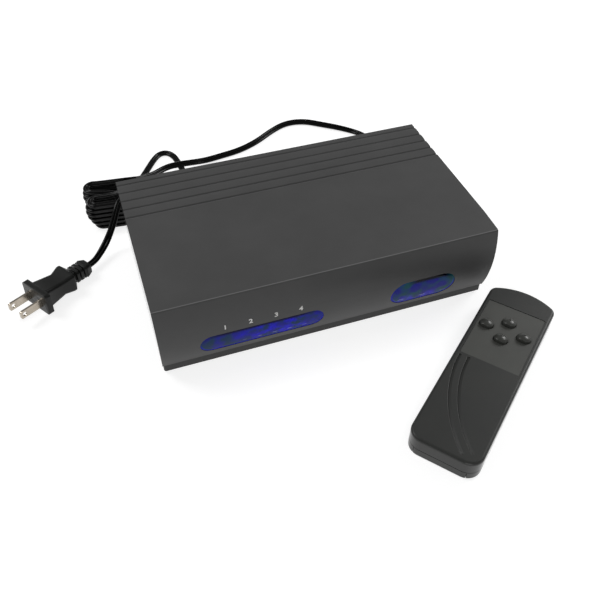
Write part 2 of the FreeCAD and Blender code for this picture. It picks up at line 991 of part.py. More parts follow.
def indicator_leds():
    start = display_y - board_thickness
    return group([lamp(V(x, start, indicator_window_z), -Y, led_radius, led_rim, led_length)
                  for x in led_places()])


def infrared_receiver():
    half = receiver_module / 2
    front = display_y - board_thickness
    case = box(receiver_window_x - half, receiver_window_x + half, front - receiver_module_depth, front,
               receiver_window_z - half, receiver_window_z + half)
    lens = Part.makeSphere(receiver_lens_radius, V(receiver_window_x, front - receiver_module_depth,
                                                   receiver_window_z))
    return join([case, lens])


def display_ribbon():
    half = ribbon_width / 2
    end = board_front + ribbon_landing
    top = ribbon_height + ribbon_thickness
    flat = box(-half, half, display_y, end + ribbon_thickness, ribbon_height, top)
    drop = box(-half, half, end, end + ribbon_thickness, board_top, top)
    return join([flat, drop])


def transformer_core():
    body = box(core_x - core_stack / 2, core_x + core_stack / 2, core_y - core_length / 2,
               core_y + core_length / 2, core_bottom, core_bottom + core_height)
    windows = []
    for side in (-1, 1):
        near = core_y + side * core_leg / 2
        far = near + side * core_window
        windows.append(box(core_x - core_stack, core_x + core_stack, min(near, far), max(near, far),
                           core_middle - core_window_height / 2, core_middle + core_window_height / 2))
    return cut_all(body, windows)


def transformer_winding():
    reach = core_leg / 2 + core_window - slip
    rise = core_window_height / 2 - slip
    coil = box(core_x - winding_thickness / 2, core_x + winding_thickness / 2, core_y - reach, core_y + reach,
               core_middle - rise, core_middle + rise)
    coil = coil.makeFillet(winding_round, [edge for edge in coil.Edges if abs(edge.tangentAt(0).z) > 0.9])
    leg = box(core_x - core_stack / 2 - slip, core_x + core_stack / 2 + slip, core_y - core_leg / 2 - slip,
              core_y + core_leg / 2 + slip, core_middle - rise - past, core_middle + rise + past)
    return coil.cut(leg)


def transformer_strap():
    """Steel strap over the core, with a foot at each end."""
    half = core_stack / 2
    end = core_length / 2
    top = core_bottom + core_height
    over = box(core_x - half, core_x + half, core_y - end - strap_thickness, core_y + end + strap_thickness,
               core_bottom, top + strap_thickness)
    over = over.cut(box(core_x - half - past, core_x + half + past, core_y - end, core_y + end,
                        core_bottom - past, top))
    feet = box(core_x - half, core_x + half, core_y - end - strap_thickness - strap_foot,
               core_y + end + strap_thickness + strap_foot, core_bottom, core_bottom + strap_thickness)
    feet = feet.cut(box(core_x - half - past, core_x + half + past, core_y - end, core_y + end,
                        core_bottom - past, core_bottom + strap_thickness + past))
    return cut_all(join([over, feet]), [rod(small_screw_radius + 2 * slip, place, Z, top)
                                        for place in transformer_screw_places()])


def transformer_screws():
    return group([screw(place + Z * (core_bottom + strap_thickness), -Z, small_screw_radius,
                        small_screw_head, screw_head_height, pedestal + strap_thickness)
                  for place in transformer_screw_places()])


def switch_chips():
    chips = []
    for i in range(chip_count):
        x = chip_first_x + chip_pitch * i
        body = box(x - chip_length / 2, x + chip_length / 2, chip_row_y - chip_width / 2,
                   chip_row_y + chip_width / 2, board_top + chip_standing,
                   board_top + chip_standing + chip_height)
        legs = []
        for j in range(chip_legs):
            at = x + (j - (chip_legs - 1) / 2) * chip_leg_pitch
            for side in (-1, 1):
                edge = chip_row_y + side * chip_width / 2
                legs.append(box(at - chip_leg_half, at + chip_leg_half, edge - chip_leg_half,
                                edge + chip_leg_half, board_top, board_top + chip_height / 2))
        chips.append(join([body] + legs))
    return group(chips)


def coupling_capacitors():
    return group([rod(coupling_radius, V(coupling_first_x + coupling_pitch * i, coupling_y, board_top), Z,
                      coupling_height) for i in range(coupling_count)])


def reservoir_capacitor():
    can = rod(reservoir_radius, V(reservoir_x, reservoir_y, board_top), Z, reservoir_height)
    rim = [edge for edge in can.Edges if edge.BoundBox.ZMin > board_top + reservoir_height - fine]
    return can.makeFillet(reservoir_round, rim)


def heat_sink():
    """Finned aluminium extrusion standing behind the regulator."""
    left = sink_x - sink_width / 2
    plate = box(left, left + sink_width, sink_y, sink_y + sink_wall, board_top, board_top + sink_height)
    step = (sink_width - sink_wall) / (sink_fins - 1)
    fins = [box(left + step * i, left + step * i + sink_wall, sink_y, sink_y + sink_depth, board_top,
                board_top + sink_height) for i in range(sink_fins)]
    return join([plate] + fins)


def voltage_regulator():
    half = regulator_width / 2
    low = board_top + regulator_standing
    tab = box(sink_x - half, sink_x + half, sink_y - regulator_tab, sink_y, low, low + regulator_height)
    body = box(sink_x - half, sink_x + half, sink_y - regulator_depth, sink_y, low, low + regulator_body)
    legs = [box(sink_x + at - regulator_leg_half, sink_x + at + regulator_leg_half,
                sink_y - regulator_leg_far, sink_y - regulator_leg_near, board_top, low + past)
            for at in (-chip_leg_pitch, 0, chip_leg_pitch)]
    return join([tab, body] + legs)


def quartz_crystal():
    return stadium(V(crystal_x, crystal_y, board_top), X, Y, crystal_length, crystal_width,
                   Z * crystal_height)


def fuse():
    start = V(fuse_x - fuse_length / 2, fuse_y, board_top + fuse_height)
    glass = rod(fuse_radius - fuse_cap_step, start, X, fuse_length)
    caps = [rod(fuse_radius, start + X * at, X, clip_width) for at in (0, fuse_length - clip_width)]
    return join([glass] + caps)


def fuse_clips():
    clips = []
    for at in (0, fuse_length - clip_width):
        x = fuse_x - fuse_length / 2 + at
        half = fuse_radius + clip_wall
        opening = fuse_radius - clip_lip
        middle = board_top + fuse_height
        block = box(x, x + clip_width, fuse_y - half, fuse_y + half, board_top, middle + clip_rise)
        hollow = rod(fuse_radius + slip, V(x - past, fuse_y, middle), X, clip_width + 2 * past)
        mouth = box(x - past, x + clip_width + past, fuse_y - opening, fuse_y + opening, middle,
                    middle + clip_rise + past)
        clips.append(block.cut(hollow).cut(mouth))
    return group(clips)


def rectifier_diodes():
    diodes = []
    for i in range(4):
        y = diode_y + diode_pitch * (i - 1.5)
        z = board_top + diode_height
        reach = diode_length / 2 + diode_lead
        body = rod(diode_radius, V(diode_x - diode_length / 2, y, z), X, diode_length)
        lead = rod(lead_radius, V(diode_x - reach, y, z), X, 2 * reach)
        legs = [rod(lead_radius, V(diode_x + side * reach, y, board_top), Z, diode_height + lead_radius)
                for side in (-1, 1)]
        diodes.append(join([body, lead] + legs))
    return group(diodes)


def wire(points, name):
    edges = route_edges(points, name)
    solid = sweep_round(edges, wire_radius)
    report_tube(name, edges, solid, wire_radius)
    return solid


def mains_wires():
    """Two cores from the bush down to the board beside the fuse."""
    wires = []
    for i, side in enumerate((-1, 1)):
        inner_y = panel_front - bush_inner
        landing_x = board_right - landing_inset
        landing_y = board_rear - landing_back + landing_half * side
        wires.append(wire([
            V(bush_x + core_half * side, inner_y, bush_z),
            V(bush_x + core_half * side, inner_y - 8, bush_z),
            V(bush_x - 11, inner_y - 16 + 2.5 * side, bush_z + 1),
            V(bush_x - 22, inner_y - 23 + 2.5 * side, bush_z + 2),
            V(landing_x, landing_y, bush_z),
            V(landing_x, landing_y, board_top),
        ], "mains wire " + str(i + 1)))
    return group(wires)


def transformer_wires():
    """Two low voltage leads from the winding down to the board."""
    wires = []
    for i, side in enumerate((-1, 1)):
        start_x = core_x - winding_thickness / 2
        start_y = core_y + 6 + 3 * side
        wires.append(wire([
            V(start_x, start_y, core_middle + 4),
            V(start_x - 4, start_y, core_middle + 4),
            V(start_x - 6.5, start_y + 6, core_middle),
            V(start_x - 7.5, start_y + 12, core_middle - 6),
            V(start_x - 7.5, start_y + 12, board_top),
        ], "transformer wire " + str(i + 1)))
    return group(wires)


# Mains lead

def cord_bush():
    """Bush that grips the lead in the panel, with a tapered sleeve outside."""
    at = V(bush_x, panel_front - bush_inner, bush_z)
    collar = rod(bush_neck - bush_collar_step, at, Y, bush_inner)
    neck = rod(bush_neck, V(bush_x, panel_front, bush_z), Y, panel_thickness)
    flange = rod(bush_flange, V(bush_x, panel_rear, bush_z), Y, bush_flange_thickness)
    sleeve = Part.makeCone(bush_root, bush_tip, bush_sleeve,
                           V(bush_x, panel_rear + bush_flange_thickness, bush_z), Y)
    return join([collar, neck, flange, sleeve])


def pile_point(pile, u, v, z):
    """A place given along a pile of loops, across it and above the table."""
    x, y, turn = pile
    angle = math.radians(turn)
    return V(x + u * math.cos(angle) - v * math.sin(angle),
             y + u * math.sin(angle) + v * math.cos(angle), z)


def layer_z(layer):
    return hank_rest + hank_layer * layer


def left_end(reach, layer):
    return -hank_run / 2 - reach[layer]


def right_end(layer):
    return hank_run / 2 + hank_sway * math.sin(hank_sway_turn * layer)


def fold_turn(pile, u, v, layer, outward, shift=0.0):
    """Half circle from one side of a pile to the other, or a little past it."""
    z = layer_z(layer)
    end = -v - shift if v > 0 else -v + shift
    middle = (v + end) / 2
    tip = pile_point(pile, u + outward * abs(v - end) / 2, middle, z)
    return Part.Arc(pile_point(pile, u, v, z), tip, pile_point(pile, u, end, z)).toShape()


def climb(pile, v, left, right, first, last):
    """Inner run of a loop: level, then up or down one layer in two arcs, then level."""
    way = pile_point(pile, 1, 0, 0) - pile_point(pile, 0, 0, 0)
    begin = max(climb_start, left + flex_radius / 2)
    low = pile_point(pile, begin, v, layer_z(first))
    high = pile_point(pile, climb_end, v, layer_z(last))
    edges = [Part.makeLine(pile_point(pile, left, v, layer_z(first)), low)]
    edges += biarc(low, way, high, way)
    edges.append(Part.makeLine(high, pile_point(pile, right, v, layer_z(last))))
    return edges


rear_pile = (rear_pile_x, rear_pile_y, rear_pile_turn)
front_pile = (front_pile_x, front_pile_y, front_pile_turn)
rear_top = len(rear_pile_reach) - 1
front_top = len(front_pile_reach) - 1


def stray_loop():
    """One loose loop of the bottom layer, which lies out behind the selector."""
    low = flex_rest
    base = layer_z(0)
    return route_edges([
        pile_point(rear_pile, right_end(0), -hank_fold, base),
        pile_point(rear_pile, right_end(0) + stray_start, -hank_fold, base),
        V(-90.0, 106.6, low),
        V(-78.5, 106.4, low),
        V(-67.8, 110.2, low),
        V(-60.5, 118.5, low),
        V(-57.5, 129.5, low),
        V(-56.8, 141.5, low),
        V(-57.6, 153.5, low),
        V(-58.8, 164.0, low),
        V(-60.2, 173.0, low),
        V(-64.6, 180.6, low),
        V(-72.0, 181.2, low),
        V(-78.8, 173.2, low),
        V(-84.8, 163.5, low),
        V(-91.0, 153.5, low),
        V(-97.7, 143.6, low),
        V(-103.8, 134.2, low),
        V(-109.3, 128.6, low),
        V(-114.2, 125.2, low),
        pile_point(rear_pile, hank_start, hank_fold, base),
        pile_point(rear_pile, left_end(rear_pile_reach, 0), hank_fold, base),
    ], "stray loop")


def hank_edges():
    """The rear pile winds down from its top, then the front pile winds up to its top."""
    rear_way = pile_point(rear_pile, 1, 0, 0) - pile_point(rear_pile, 0, 0, 0)
    front_way = pile_point(front_pile, 1, 0, 0) - pile_point(front_pile, 0, 0, 0)
    edges = []
    for layer in range(rear_top, 0, -1):
        z = layer_z(layer)
        left = left_end(rear_pile_reach, layer)
        begin = hank_start if layer == rear_top else right_end(layer)
        edges.append(Part.makeLine(pile_point(rear_pile, begin, hank_fold, z),
                                   pile_point(rear_pile, left, hank_fold, z)))
        edges.append(fold_turn(rear_pile, left, hank_fold, layer, -1))
        edges += climb(rear_pile, -hank_fold, left, right_end(layer - 1), layer, layer - 1)
        if layer > 1:
            edges.append(fold_turn(rear_pile, right_end(layer - 1), -hank_fold, layer - 1, 1))
    edges += stray_loop()
    left = left_end(rear_pile_reach, 0)
    edges.append(fold_turn(rear_pile, left, hank_fold, 0, -1, crossing_shift))
    edges += biarc(pile_point(rear_pile, left, -hank_fold - crossing_shift, layer_z(0)), rear_way,
                   pile_point(front_pile, crossing_end, hank_fold + crossing_room, layer_z(0)), front_way)
    for layer in range(front_top):
        left = left_end(front_pile_reach, layer)
        z = layer_z(layer)
        room = crossing_room if layer == 0 else 0.0
        right = crossing_end if layer == 0 else right_end(layer)
        edges.append(fold_turn(front_pile, right, hank_fold + room, layer, 1, -room))
        edges.append(Part.makeLine(pile_point(front_pile, right, -hank_fold, z),
                                   pile_point(front_pile, left, -hank_fold, z)))
        edges.append(fold_turn(front_pile, left, -hank_fold, layer, -1))
        edges += climb(front_pile, hank_fold, left, right_end(layer + 1), layer, layer + 1)
    z = layer_z(front_top)
    edges.append(fold_turn(front_pile, right_end(front_top), hank_fold, front_top, 1))
    edges.append(Part.makeLine(pile_point(front_pile, right_end(front_top), -hank_fold, z),
                               pile_point(front_pile, hank_end, -hank_fold, z)))
    return edges


def tie_band(growth):
    low = hank_rest - flex_radius - slip - tie_thickness - growth
    corners = [
        V(0, -tie_front_low - growth, low),
        V(0, tie_rear_low + growth, low),
        V(0, tie_rear_half + growth, tie_rear_top + growth),
        V(0, -tie_ridge, tie_front_top + growth),
        V(0, -tie_front_half - growth, tie_front_top + growth),
    ]
    return Part.Face(rounded_wire(corners, [flex_radius + growth] * 5)).extrude(X * tie_width)


def hank_tie():
    """Flat band round both piles."""
    band = tie_band(0.0).cut(tie_band(-tie_thickness))
    return turned(band, tie_turn, V(tie_x, tie_y, 0))


def lead_points():
    """Route from the bush down to the table, round behind the selector and up onto the hank."""
    top = layer_z(rear_top)
    low = flex_rest
    return [
        V(bush_x, panel_rear + bush_flange_thickness + bush_sleeve, bush_z),
        V(bush_x, 102.0, bush_z),
        V(103.5, 115.0, 17.0),
        V(109.5, 128.0, 11.0),
        V(114.0, 142.0, 5.0),
        V(110.0, 156.0, low),
        V(97.0, 167.5, low),
        V(83.0, 178.0, low),
        V(68.5, 189.0, low),
        V(51.0, 191.0, low),
        V(34.0, 182.5, low),
        V(17.0, 170.5, low),
        V(-2.0, 162.0, low),
        V(-21.0, 159.0, low),
        V(-34.0, 156.5, 3.0),
        V(-46.0, 152.5, 6.2),
        V(-58.0, 150.0, 8.8),
        V(-71.0, 146.8, 10.8),
        V(-84.0, 137.2, 12.4),
        V(-95.0, 128.9, 16.6),
        V(-104.2, 125.4, 20.1),
        pile_point(rear_pile, hank_start + hank_lead_in, hank_fold, top),
        pile_point(rear_pile, hank_start, hank_fold, top),
    ]


def tail_points():
    """Route from the top of the hank down its front to the plug."""
    top = layer_z(front_top)
    end = plug_place().multVec(V(plug_length(), 0, 0))
    heading = plug_place().Rotation.multVec(X)
    return [
        pile_point(front_pile, hank_end, -hank_fold, top),
        pile_point(front_pile, hank_end - 6.0, -hank_fold, top),
        V(-118.8, 89.2, 26.6),
        V(-122.8, 82.0, 22.0),
        V(-127.6, 75.0, 16.0),
        V(-134.5, 66.5, 9.8),
        V(-142.0, 57.5, 6.6),
        end + heading * 6.0,
        end,
    ]


# Mains plug, drawn along +X from its blade face to its strain relief

def plug_place():
    """Where the blade face lies: the flange edge and the strain relief both touch the table."""
    spin = FreeCAD.Rotation(Z, plug_turn).multiply(FreeCAD.Rotation(Y, plug_pitch))
    lean = math.radians(plug_pitch)
    height = plug_flange_height / 2 * math.cos(lean) + plug_flange_thickness * math.sin(lean)
    return FreeCAD.Placement(V(plug_x, plug_y, height + slip), spin)


def plug_ribs_start(i):
    return plug_neck + plug_rib_pitch * i + plug_rib_pitch - plug_rib_width


def plug_length():
    return plug_neck + plug_rib_pitch * plug_rib_count + plug_end_length


def slab(x, width, height, radius, rise=0.0):
    corners = [V(x, -width / 2, rise - height / 2), V(x, width / 2, rise - height / 2),
               V(x, width / 2, rise + height / 2), V(x, -width / 2, rise + height / 2)]
    return rounded_wire(corners, [radius] * 4)


def plug_body():
    """Winged flange, grip with a waist and a hump, ribbed strain relief and a thicker end."""
    flange = Part.Face(slab(0, plug_flange_width, plug_flange_height, plug_flange_corner))
    flange = flange.extrude(X * plug_flange_thickness)
    grip = Part.makeLoft([
        slab(plug_flange_thickness - plug_overlap, plug_root_width, plug_root_height, plug_corner),
        slab(plug_waist, plug_waist_width, plug_waist_height, plug_corner),
        slab(plug_hump, plug_hump_width, plug_hump_height, plug_corner, plug_hump_rise),
        slab(plug_hump + plug_hump_length, plug_hump_width, plug_hump_height, plug_corner, plug_hump_rise),
        slab(plug_neck, plug_neck_width, plug_neck_height, plug_corner),
    ], True, True)
    pieces = [flange, grip]
    relief = plug_rib_pitch * plug_rib_count
    core = Part.Face(slab(plug_neck, 2 * plug_core, 2 * plug_core, plug_core_corner)).extrude(X * relief)
    pieces.append(core)
    for i in range(plug_rib_count):
        rib = slab(plug_ribs_start(i), plug_rib_size, plug_rib_height, plug_corner)
        pieces.append(Part.Face(rib).extrude(X * plug_rib_width))
    end = Part.makeLoft([
        slab(plug_neck + relief, plug_end_width, plug_end_height, plug_corner),
        slab(plug_length(), plug_tip_width, plug_tip_height, plug_corner),
    ], True, True)
    pieces.append(end)
    body = join(pieces)
    slot_half = (blade_thickness + slip) / 2
    slot_reach = (blade_width + slip) / 2
    slots = [box(-past, blade_root + slip, y - slot_half, y + slot_half, -slot_reach, slot_reach)
             for y in (-blade_spacing / 2, blade_spacing / 2)]
    body = cut_all(body, slots)
    body.Placement = plug_place()
    return body


def plug_blades():
    blades = []
    for y in (-blade_spacing / 2, blade_spacing / 2):
        half = blade_width / 2
        corners = [V(-blade_length, y, -half), V(blade_root, y, -half),
                   V(blade_root, y, half), V(-blade_length, y, half)]
        outline = Part.Face(rounded_wire(corners, [blade_corner, 0, 0, blade_corner]))
        blade = outline.extrude(Y * blade_thickness)
        blade.translate(Y * (-blade_thickness / 2))
        hole = rod(blade_hole, V(-blade_length + blade_hole_back, y - blade_thickness, 0), Y,
                   2 * blade_thickness)
        blade = blade.cut(hole)
        blade.Placement = plug_place()
        blades.append(blade)
    return group(blades)


# Handset, drawn along +X towards its emitter, then turned and moved to its place

def place_remote(shape):
    return turned(shape, remote_turn, V(remote_x, remote_y, 0))


def remote_block(low, high, inset):
    """Slab with straight sides, a straight near end and an arched far end, all inset alike."""
    half = remote_width / 2 - inset
    near = -remote_length / 2 + inset
    sweep = ((remote_width / 2) ** 2 + remote_arch ** 2) / (2 * remote_arch)
    middle = remote_length / 2 - sweep
    shoulder = middle + math.sqrt((sweep - inset) ** 2 - half ** 2)
    right = V(shoulder, -half, low)
    left = V(shoulder, half, low)
    edges = [
        Part.makeLine(V(near, -half, low), right),
        Part.Arc(right, V(middle + sweep - inset, 0, low), left).toShape(),
        Part.makeLine(left, V(near, half, low)),
        Part.makeLine(V(near, half, low), V(near, -half, low)),
    ]
    slab_solid = Part.Face(Part.Wire(edges)).extrude(Z * (high - low))
    near_edges = [edge for edge in slab_solid.Edges if edge.BoundBox.XMax < near + slip]
    near_edges = [edge for edge in near_edges if edge.BoundBox.ZLength > (high - low) / 2]
    slab_solid = slab_solid.makeFillet(remote_near_corner - inset, near_edges)
    far_edges = [edge for edge in slab_solid.Edges
                 if abs(edge.BoundBox.XMin - shoulder) < slip and abs(edge.BoundBox.XMax - shoulder) < slip
                 and edge.BoundBox.ZLength > (high - low) / 2]
    return slab_solid.makeFillet(remote_far_corner - inset, far_edges)


def button_places():
    """Left, far, near and right of the diamond, numbered in that order."""
    return [(button_x, button_y + button_step_y), (button_x + button_step_x, button_y),
            (button_x - button_step_x, button_y), (button_x, button_y - button_step_y)]


def button_prism(place, low, high, growth):
    return stadium(V(place[0], place[1], low), Y, X, button_length + 2 * growth,
                   button_width + 2 * growth, Z * (high - low))


def hand_groove(points):
    """A curved groove in the top, through three places: a steep wall with a rounded edge, then a ramp."""
    a, b, c = [V(x, y, remote_height) for x, y in points]
    arc = Part.Arc(a, b, c).toShape()
    heading = arc.tangentAt(arc.FirstParameter)
    side = Z.cross(heading).normalize()
    wall = a - side * (hand_groove_width / 2)
    edge = wall - side * hand_groove_edge
    round_middle = edge + side * (hand_groove_edge * math.sin(math.pi / 4))
    round_middle -= Z * (hand_groove_edge * (1 - math.cos(math.pi / 4)))
    foot = wall - Z * hand_groove_depth
    ramp = a + side * (hand_groove_width / 2)
    lift = Z * past
    section = Part.Wire([
        Part.Arc(edge, round_middle, wall - Z * hand_groove_edge).toShape(),
        Part.makeLine(wall - Z * hand_groove_edge, foot),
        Part.makeLine(foot, ramp),
        Part.makeLine(ramp, ramp + lift),
        Part.makeLine(ramp + lift, edge + lift),
        Part.makeLine(edge + lift, edge),
    ])
    return Part.Wire([arc]).makePipeShell([section], True, False)


def remote_board_top():
    return remote_board_height + remote_board_thickness


def emitter_z():
    return remote_board_top() + emitter_rim + slip - emitter_drop


def remote_post_places():
    return [V(x, sy * remote_post_y, 0) for x in (remote_post_x, remote_post_far) for sy in (-1, 1)]


def remote_screw_places():
    return [V(remote_screw_x, 0, 0), V(remote_screw_far, 0, 0)]


def remote_top_shell():
    low = remote_seam + remote_seam_gap
    outer = remote_block(low, remote_height, 0)
    rim = [edge for edge in outer.Edges if edge.BoundBox.ZMin > remote_height - fine]
    outer = outer.makeFillet(remote_top_round, rim)
    ceiling = remote_height - remote_ceiling
    shell = outer.cut(remote_block(low - past, ceiling, remote_wall))
    recess_x = [keypad_x - keypad_length / 2 - slip, keypad_x + keypad_length / 2 + slip]
    recess_y = keypad_width / 2 + slip
    depth = keypad_sunk + keypad_thickness
    cuts = [rounded_plate(recess_x[0], recess_x[1], -recess_y, recess_y, remote_height - depth,
                          remote_height + past, keypad_corner)]
    cuts += [button_prism(place, ceiling - past, remote_height, button_gap) for place in button_places()]
    cuts.append(hand_groove(outer_hand_groove))
    cuts.append(hand_groove(inner_hand_groove))
    cuts.append(rod(emitter_radius + slip, V(0, 0, emitter_z()), X, remote_length))
    bosses = [rod(remote_post_radius, place + Z * (remote_board_top() + slip), Z,
                  ceiling + boss_sink - remote_board_top() - slip) for place in remote_screw_places()]
    shell = join([cut_all(shell, cuts)] + bosses)
    pilots = [rod(remote_screw_radius + slip / 2, place, Z, remote_screw_reach())
              for place in remote_screw_places()]
    return place_remote(cut_all(shell, pilots))


def remote_screw_reach():
    return remote_floor + remote_screw_seat + remote_screw_length + slip


def remote_base():
    """Lower half of the handset as a block, with its lower rim rounded."""
    block = remote_block(0, remote_seam, 0)
    return block.makeFillet(remote_base_round, [edge for edge in block.Edges if edge.BoundBox.ZMax < fine])


def hatch_room():
    """Room for the battery hatch: its skin, the wider tongue above it and its share of the near wall."""
    near = -remote_length / 2
    right = hatch_right + loose
    half = hatch_width / 2 + loose
    reach = half + hatch_tongue
    return [
        box(near - past, right, -half, half, -past, hatch_skin),
        box(near - past, right, -reach, reach, hatch_skin, remote_floor + past),
        box(near - past, near + remote_wall + loose, -reach, reach, -past, remote_seam + past),
    ]


def remote_bottom_shell():
    inside = remote_block(remote_floor, remote_seam + past, remote_wall)
    shell = remote_base().cut(inside)
    root = remote_floor - boss_sink
    posts = [rod(remote_post_radius, place + Z * root, Z, remote_board_height - root)
             for place in remote_post_places() + remote_screw_places()]
    divider_half = remote_width / 2 - remote_wall / 2
    divider = box(hatch_right + divider_gap, hatch_right + divider_gap + divider_thickness, -divider_half,
                  divider_half, root, remote_seam - divider_drop)
    shell = join([shell, divider] + posts)
    cuts = hatch_room()
    for place in remote_screw_places():
        cuts.append(rod(remote_screw_radius + slip, place - Z * past, Z, remote_board_height + 2 * past))
        cuts.append(rod(remote_screw_head + slip, place - Z * past, Z, remote_floor + remote_screw_well))
    cuts.append(rod(emitter_radius + slip, V(0, 0, emitter_z()), X, remote_length))
    return place_remote(cut_all(shell, cuts))


def battery_hatch():
    """Sliding hatch: a skin level with the base, a tongue held above the ledges, and an end wall."""
    half = hatch_width / 2
    reach = half + hatch_tongue
    near = -remote_length / 2
    skin = remote_base().common(box(near - past, hatch_right, -half, half, -past, hatch_skin))
    wall = remote_base().common(box(near - past, near + remote_wall, -reach, reach, -past, remote_seam))
    root = near + remote_wall / 2
    tongue = box(root, hatch_right, -reach, reach, hatch_skin + loose, remote_floor)
    web = box(root, hatch_right - past, -half + loose, half - loose, hatch_skin / 2, remote_floor)
    return place_remote(join([skin, wall, tongue, web]))


def keypad_plate():
    low = remote_height - keypad_sunk - keypad_thickness
    plate = rounded_plate(keypad_x - keypad_length / 2, keypad_x + keypad_length / 2, -keypad_width / 2,
                          keypad_width / 2, low, low + keypad_thickness, keypad_corner)
    return place_remote(cut_all(plate, [button_prism(place, low - past, remote_height, button_gap)
                                        for place in button_places()]))


def remote_button(place):
    """Oval key with a domed top that leans to the near side, a pip, a rim below and a short stem."""
    ceiling = remote_height - remote_ceiling
    rim_top = ceiling - loose
    rim_low = rim_top - button_rim_thickness
    crown = remote_height - keypad_sunk + button_rise
    dome_low = crown - button_dome
    key = button_prism(place, rim_low, crown, 0)
    key = key.common(Part.makeSphere(button_dome, V(place[0] - button_lean, place[1], dome_low)))
    top = [face for face in key.Faces if isinstance(face.Surface, Part.Sphere)]
    key = key.makeFillet(button_edge, top[0].Edges)
    pip_top = dome_low + math.sqrt(button_dome ** 2 - (button_pip_x + button_lean) ** 2) + button_pip_rise
    pip_middle = V(place[0] + button_pip_x, place[1], pip_top - button_pip_radius)
    pip = Part.makeSphere(button_pip_radius, pip_middle)
    rim = button_prism(place, rim_low, rim_top, button_rim)
    stem = rod(button_stem_radius, V(place[0], place[1], rim_low - button_stem), Z, button_stem)
    return place_remote(join([key, pip, rim, stem]))


def remote_board():
    half = remote_board_width / 2
    plate = box(remote_board_left, remote_board_right, -half, half, remote_board_height, remote_board_top())
    return place_remote(cut_all(plate, [rod(remote_screw_radius + slip, place, Z, remote_height)
                                        for place in remote_screw_places()]))


def remote_membrane():
    """Rubber sheet with a low dome under each button."""
    half = keypad_width / 2 - membrane_inset
    low = remote_board_top()
    sheet = rounded_plate(keypad_x - keypad_length / 2 + membrane_start,
                          remote_screw_far - remote_post_radius - loose,
                          -half, half, low, low + membrane_thickness, membrane_corner)
    rim_low = remote_height - remote_ceiling - loose - button_rim_thickness
    dome_top = rim_low - button_stem - button_travel - slip
    domes = [rod(membrane_dome, V(x, y, low), Z, dome_top - low) for x, y in button_places()]
    return place_remote(join([sheet] + domes))


def emitter_diode():
    far = remote_length / 2 + emitter_proud
    return place_remote(lamp(V(far - emitter_length, 0, emitter_z()), X, emitter_radius, emitter_rim,
                             emitter_length))


def cell_z():
    return remote_floor + loose + cell_radius


def battery_cells():
    """Two cells side by side, pointing opposite ways."""
    cells = []
    for side in (-1, 1):
        start = V(cell_x - side * cell_length / 2, side * cell_y, cell_z())
        body = rod(cell_radius, start, X * side, cell_length - cell_nub)
        nub = rod(cell_nub_radius, start, X * side, cell_length)
        cells.append(place_remote(join([body, nub])))
    return group(cells)


def battery_contacts():
    """A sprung plate at each end of the two cells."""
    plates = []
    for end in (-1, 1):
        face = cell_x + end * (cell_length / 2 + slip)
        x0 = min(face, face + end * spring_plate)
        for side in (-1, 1):
            y0 = side * cell_y
            plates.append(place_remote(box(x0, x0 + spring_plate, y0 - contact_half, y0 + contact_half,
                                           cell_z() - contact_low, cell_z() + contact_high)))
    return group(plates)


def remote_screws():
    seat = remote_floor + remote_screw_seat
    return group([place_remote(screw(place + Z * seat, Z, remote_screw_radius, remote_screw_head,
                                     screw_head_height, remote_screw_length))
                  for place in remote_screw_places()])


# Write every piece

save("top_cover", top_cover())
save("base_tray", base_tray())
save("rear_panel", rear_panel())
save("indicator_window", window(indicator_window_x, indicator_window_z, indicator_window_length,
                                indicator_window_height))
save("receiver_window", window(receiver_window_x, receiver_window_z, receiver_window_length,
                               receiver_window_height))
save("rubber_feet", rubber_feet())
save("case_screws", case_screws())
save("jack_screws", jack_screws())
save("svideo_sockets", group([din_socket(x) for x in group_x]))
save("svideo_shields", group([din_shield(x) for x in group_x]))
save("svideo_contacts", group([pin for x in group_x for pin in din_contacts(x)]))
save("phono_blocks", group([phono_block(x) for x in group_x]))
save("phono_barrels", group([phono_shell(x, z) for x in group_x for z in phono_rows]))
save("phono_contacts", group([phono_contact(x, z) for x in group_x for z in phono_rows]))
for colour, row in (("red", phono_rows[0]), ("white", phono_rows[1]), ("yellow", phono_rows[2])):
    save("phono_rings_" + colour, group([ring for x in group_x for ring in phono_ring(x, row)]))
save("main_board", main_board())
save("board_screws", board_screws())
save("display_board", display_board())
save("indicator_leds", indicator_leds())
save("infrared_receiver", infrared_receiver())
save("display_ribbon", display_ribbon())
save("transformer_core", transformer_core())
save("transformer_winding", transformer_winding())
save("transformer_strap", transformer_strap())
save("transformer_screws", transformer_screws())
save("switch_chips", switch_chips())
save("coupling_capacitors", coupling_capacitors())
save("reservoir_capacitor", reservoir_capacitor())
save("heat_sink", heat_sink())
save("voltage_regulator", voltage_regulator())
save("quartz_crystal", quartz_crystal())
save("fuse", fuse())
save("fuse_clips", fuse_clips())
save("rectifier_diodes", rectifier_diodes())
save("mains_wires", mains_wires())
save("transformer_wires", transformer_wires())
save("cord_bush", cord_bush())

lead_edges = route_edges(lead_points(), "lead")
lead = sweep_round(lead_edges, flex_radius)
report_tube("lead", lead_edges, lead, flex_radius)
save("power_cord_lead", lead)

loops = hank_edges()
hank = sweep_round(loops, flex_radius)
report_tube("hank", loops, hank, flex_radius)
print("hank least gap", round(least_gap(loops, flex_radius), 2))
save("cord_hank", hank)
save("hank_tie", hank_tie())

tail_edges = route_edges(tail_points(), "tail")
tail = sweep_round(tail_edges, flex_radius)
report_tube("tail", tail_edges, tail, flex_radius)
save("power_cord_tail", tail)
save("plug_body", plug_body())
save("plug_blades", plug_blades())

